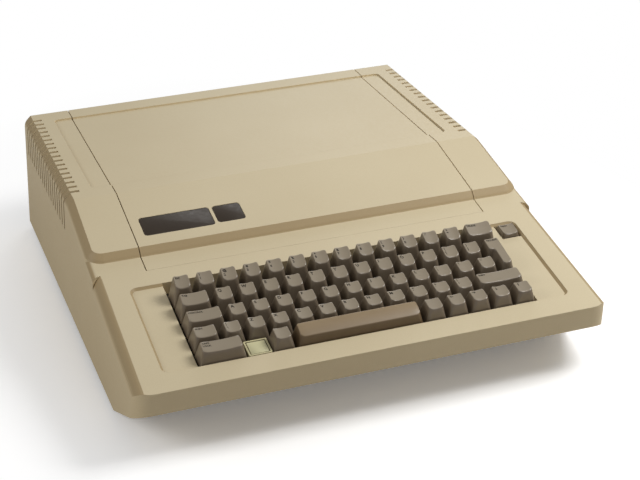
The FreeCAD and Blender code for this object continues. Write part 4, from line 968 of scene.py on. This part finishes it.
resistors, bands = Solids(), Solids()
for x, y in RESISTOR_PLACES:
    place = turned(x, y, BOARD_TOP + WIRE_HEIGHT, 90, "Y")
    resistors.lathe([(0, -3.1), (1.0, -3.1), (1.2, -2.6), (0.95, -1.7), (0.95, 1.7), (1.2, 2.6),
                     (1.0, 3.1), (0, 3.1)], place, 14)
    for along in (-1.2, -0.2, 0.8):
        bands.lathe([(0, along), (1.0, along), (1.0, along + 0.45), (0, along + 0.45)], place, 14)
    for side in (-1, 1):
        leads.rod([(x + side * 3, y, BOARD_TOP + WIRE_HEIGHT),
                   (x + side * 4.6, y, BOARD_TOP + WIRE_HEIGHT),
                   (x + side * 5, y, BOARD_TOP + 1.3), (x + side * 5, y, BOARD_TOP)], 0.25, 6)
resistors.piece("resistors", "case", "chip_plastic", "resistor_body")
bands.piece("resistor_bands", "case", "chip_plastic", "red_wire")
leads.piece("component_leads", "case", "connector_metal", "solder")

electrolytics, metal_tops = Solids(), Solids()
for x, y in ELECTROLYTIC_PLACES:
    electrolytics.lathe([(0, 0), (4.6, 0), (4.6, 1.2), (4.2, 1.7), (4.6, 2.2), (4.6, 10.6),
                         (4.1, 11.0), (0, 11.0)], standing(x, y), 24)
    metal_tops.lathe([(0, 10.9), (3.7, 10.9), (3.6, 11.15), (0, 11.15)], standing(x, y), 24)
crystal_outline = rounded_outline((-6, -2.3), (6, 2.3), 2.2)
metal_tops.slab(crystal_outline, 0, 3.6, standing(-20, 108), 0.5)
electrolytics.piece("electrolytic_capacitors", "case", "chip_plastic", "black_wire")
metal_tops.piece("capacitor_tops_and_crystal", "case", "connector_metal", "screw_metal")

board_screws, board_cross_shade = Solids(), Solids()
for x, y in BOARD_SCREWS:
    screw(board_screws, standing(x, y), *BOARD_SCREW)
    painted_cross_shade(board_cross_shade, standing(x, y), *BOARD_SCREW)
board_screws.piece("board_screws", "case", "connector_metal", "screw_metal")
# the dark screw crosses are painted shade of the cross recesses
board_cross_shade.piece("board_screw_cross_shade", "case", "dark_plastic", "groove")

# Power supply: painted shade of its vent slots and screws on its top, wires with their plug

SUPPLY_TOP = 67.9
SUPPLY_SCREW = (2.6, 1.2)
SUPPLY_SCREWS = ((-174, -31), (-120, -31), (-174, 205), (-120, 205))
VENT_ROWS = 12
VENT_STEP = 9
VENT_LENGTH = 22
VENT_WIDTH = 2.4
SUPPLY_WIRES = 6
SUPPLY_WIRE_STEP = 3.4
SUPPLY_WIRE_RADIUS = 1.0
SPEAKER_WIRE_RADIUS = 0.7
vent_shade_slabs, supply_screws, supply_cross_shade = Solids(), Solids(), Solids()
# painted shade: dark slabs on the supply's top stand for the shade inside its vent slots
for number in range(VENT_ROWS):
    for left in (-171, -145):
        y = 20 + VENT_STEP * number
        vent_shade_slabs.slab(rounded_outline((left, y), (left + VENT_LENGTH, y + VENT_WIDTH), 1.1),
                   SUPPLY_TOP - 0.4, SUPPLY_TOP + 0.05)
for x, y in SUPPLY_SCREWS:
    screw(supply_screws, moved(x, y, SUPPLY_TOP), *SUPPLY_SCREW)
    painted_cross_shade(supply_cross_shade, moved(x, y, SUPPLY_TOP), *SUPPLY_SCREW)
vent_shade_slabs.piece("supply_vent_shade", "case", "supply_metal", "groove")
supply_screws.piece("supply_screws", "case", "connector_metal", "screw_metal")
# the dark screw crosses are painted shade of the cross recesses
supply_cross_shade.piece("supply_screw_cross_shade", "case", "dark_plastic", "groove")


def eased(path):
    """The same path with its corners cut twice, so that a wire bends softly."""
    path = [Vector(point) for point in path]
    for repeat in range(2):
        points = [path[0]]
        for first, second in zip(path, path[1:]):
            points += [first.lerp(second, 0.25), first.lerp(second, 0.75)]
        path = points + [path[-1]]
    return path


red, black = Solids(), Solids()
for number in range(SUPPLY_WIRES):
    y = 33.5 + SUPPLY_WIRE_STEP * number
    wire = red if number % 2 else black
    wire.rod(eased([(-114, y, 40), (-106, y, 42), (-97, y, 40), (-95, y, 22)]),
             SUPPLY_WIRE_RADIUS)
for wire, shift in ((red, -1.4), (black, 1.4)):
    wire.rod(eased([(-110.5, -111 + shift, 9.8), (-109, -111 + shift, 17),
                    (-102, -100 + shift, 24), (-99, -94 + shift, 17)]), SPEAKER_WIRE_RADIUS)
red.piece("red_wires", "case", "dark_plastic", "red_wire")
black.piece("black_wires", "case", "dark_plastic", "black_wire")
plugs = Solids()
plugs.box((-100, 31, BOARD_TOP), (-90, 53, BOARD_TOP + 9), edge=0.6)
plugs.box((-102, -98.5, BOARD_TOP), (-96, -89.5, BOARD_TOP + 5), edge=0.4)
plugs.slab(rounded_outline((30.5, 36), (53.5, 44), 3), 0, 1.4,
           Matrix(((0, 0, 1, -114), (1, 0, 0, 0), (0, 1, 0, 0), (0, 0, 0, 1))), 0.4)
plugs.piece("plugs_and_grommet", "case", "dark_plastic", "lamp_label")

# Flat cable from the keyboard to the main board

RIBBON_WIRES = 16
RIBBON_STEP = 1.27
RIBBON_LEFT = -50
RIBBON_RADIUS = 0.62
ribbon, sockets = Solids(), Solids()
for number in range(RIBBON_WIRES):
    x = RIBBON_LEFT + number * RIBBON_STEP
    ribbon.rod(eased([(x, -112, 63.5), (x, -114, 50), (x, -108, 34), (x, -98, 30), (x, -98, 18)]),
               RIBBON_RADIUS, 8)
sockets.box((-53, 108, -19.5), (-28, 114, -13.4), deck_place)
sockets.box((-53, -101, BOARD_TOP), (-28, -95, BOARD_TOP + 7), edge=0.5)
ribbon.piece("keyboard_ribbon", "case", "dark_plastic", "grey_ribbon")
sockets.piece("ribbon_sockets", "case", "dark_plastic")


# Floor, light and world


def area_light(name, place, target, size, power):
    data = bpy.data.lights.new(name, "AREA")
    data.shape = "RECTANGLE"
    data.size, data.size_y = size
    data.energy = power
    item = bpy.data.objects.new(name, data)
    scene.collection.objects.link(item)
    item.location = place
    item.rotation_euler = (Vector(target) - Vector(place)).to_track_quat("-Z", "Y").to_euler()


area_light("key_light", (0.75, -0.35, 1.0), (0.0, -0.05, 0.05), (0.5, 0.5), 10.5)
area_light("fill_light", (-1.5, -0.1, 0.9), (-0.15, -0.05, 0.0), (1.0, 0.8), 7.6)
area_light("back_light", (0.75, 1.6, 0.95), (0, 0, 0.05), (0.7, 0.5), 4.5)

FLOOR_HALF = 30.0
FLOOR_BOUNCE = 0.6
FLOOR_SEEN = 1.3
FLOOR_WHITENESS = 0.14
FLOOR_REACH = 2.0
FLOOR_STRETCH = 1.5
FLOOR_NEAR = 0.3
FLOOR_FAR = 0.6
floor_data = bpy.data.meshes.new("floor")
floor_corners = [(-1, -1), (1, -1), (1, 1), (-1, 1)]
floor_data.from_pydata([(x * FLOOR_HALF, y * FLOOR_HALF, 0) for x, y in floor_corners], [],
                       [(0, 1, 2, 3)])
floor = bpy.data.objects.new("floor", floor_data)
scene.collection.objects.link(floor)


def white_floor():
    """A matt floor that the camera sees as white paper, with the machine's own soft shadow."""
    bounce = (FLOOR_BOUNCE,) * 3 + (1.0,)
    shader = Shader("floor", bounce, 0.9, specular=0.05)
    path = shader.tree.nodes.new("ShaderNodeLightPath")
    seen = path.outputs["Is Camera Ray"]
    shader.color(shader.mix(seen, bounce, (FLOOR_SEEN,) * 3 + (1.0,)))
    size = shader.tree.nodes.new("ShaderNodeMapping")
    size.inputs["Scale"].default_value = (FLOOR_STRETCH / FLOOR_REACH,) + (1 / FLOOR_REACH,) * 2
    rings = shader.tree.nodes.new("ShaderNodeTexGradient")
    rings.gradient_type = "SPHERICAL"
    shader.link(shader.place, size.inputs["Vector"])
    shader.link(size.outputs["Vector"], rings.inputs["Vector"])
    near = 1 - FLOOR_NEAR / FLOOR_REACH
    far = 1 - FLOOR_FAR / FLOOR_REACH
    whiteness = shader.span(rings.outputs["Fac"], far, near, 1.0, FLOOR_WHITENESS)
    share = shader.tree.nodes.new("ShaderNodeMath")
    share.operation = "MULTIPLY"
    shader.link(whiteness, share.inputs[0])
    shader.link(seen, share.inputs[1])
    glow = shader.tree.nodes.new("ShaderNodeEmission")
    glow.inputs["Strength"].default_value = 1.0
    whitened = shader.tree.nodes.new("ShaderNodeMixShader")
    shader.link(share.outputs["Value"], whitened.inputs["Fac"])
    shader.link(shader.base.outputs["BSDF"], whitened.inputs[1])
    shader.link(glow.outputs["Emission"], whitened.inputs[2])
    shader.link(whitened.outputs["Shader"],
                shader.tree.nodes["Material Output"].inputs["Surface"])
    return shader.material


floor_data.materials.append(white_floor())

WORLD_STRENGTH = 0.26
world = bpy.data.worlds.new("world")
scene.world = world
world.use_nodes = True
background = world.node_tree.nodes["Background"]
background.inputs["Color"].default_value = (1.0, 1.0, 1.0, 1.0)
path = world.node_tree.nodes.new("ShaderNodeLightPath")
seen = world.node_tree.nodes.new("ShaderNodeMapRange")
seen.inputs["To Min"].default_value = WORLD_STRENGTH
seen.inputs["To Max"].default_value = 1.0
world.node_tree.links.new(path.outputs["Is Camera Ray"], seen.inputs["Value"])
world.node_tree.links.new(seen.outputs["Result"], background.inputs["Strength"])
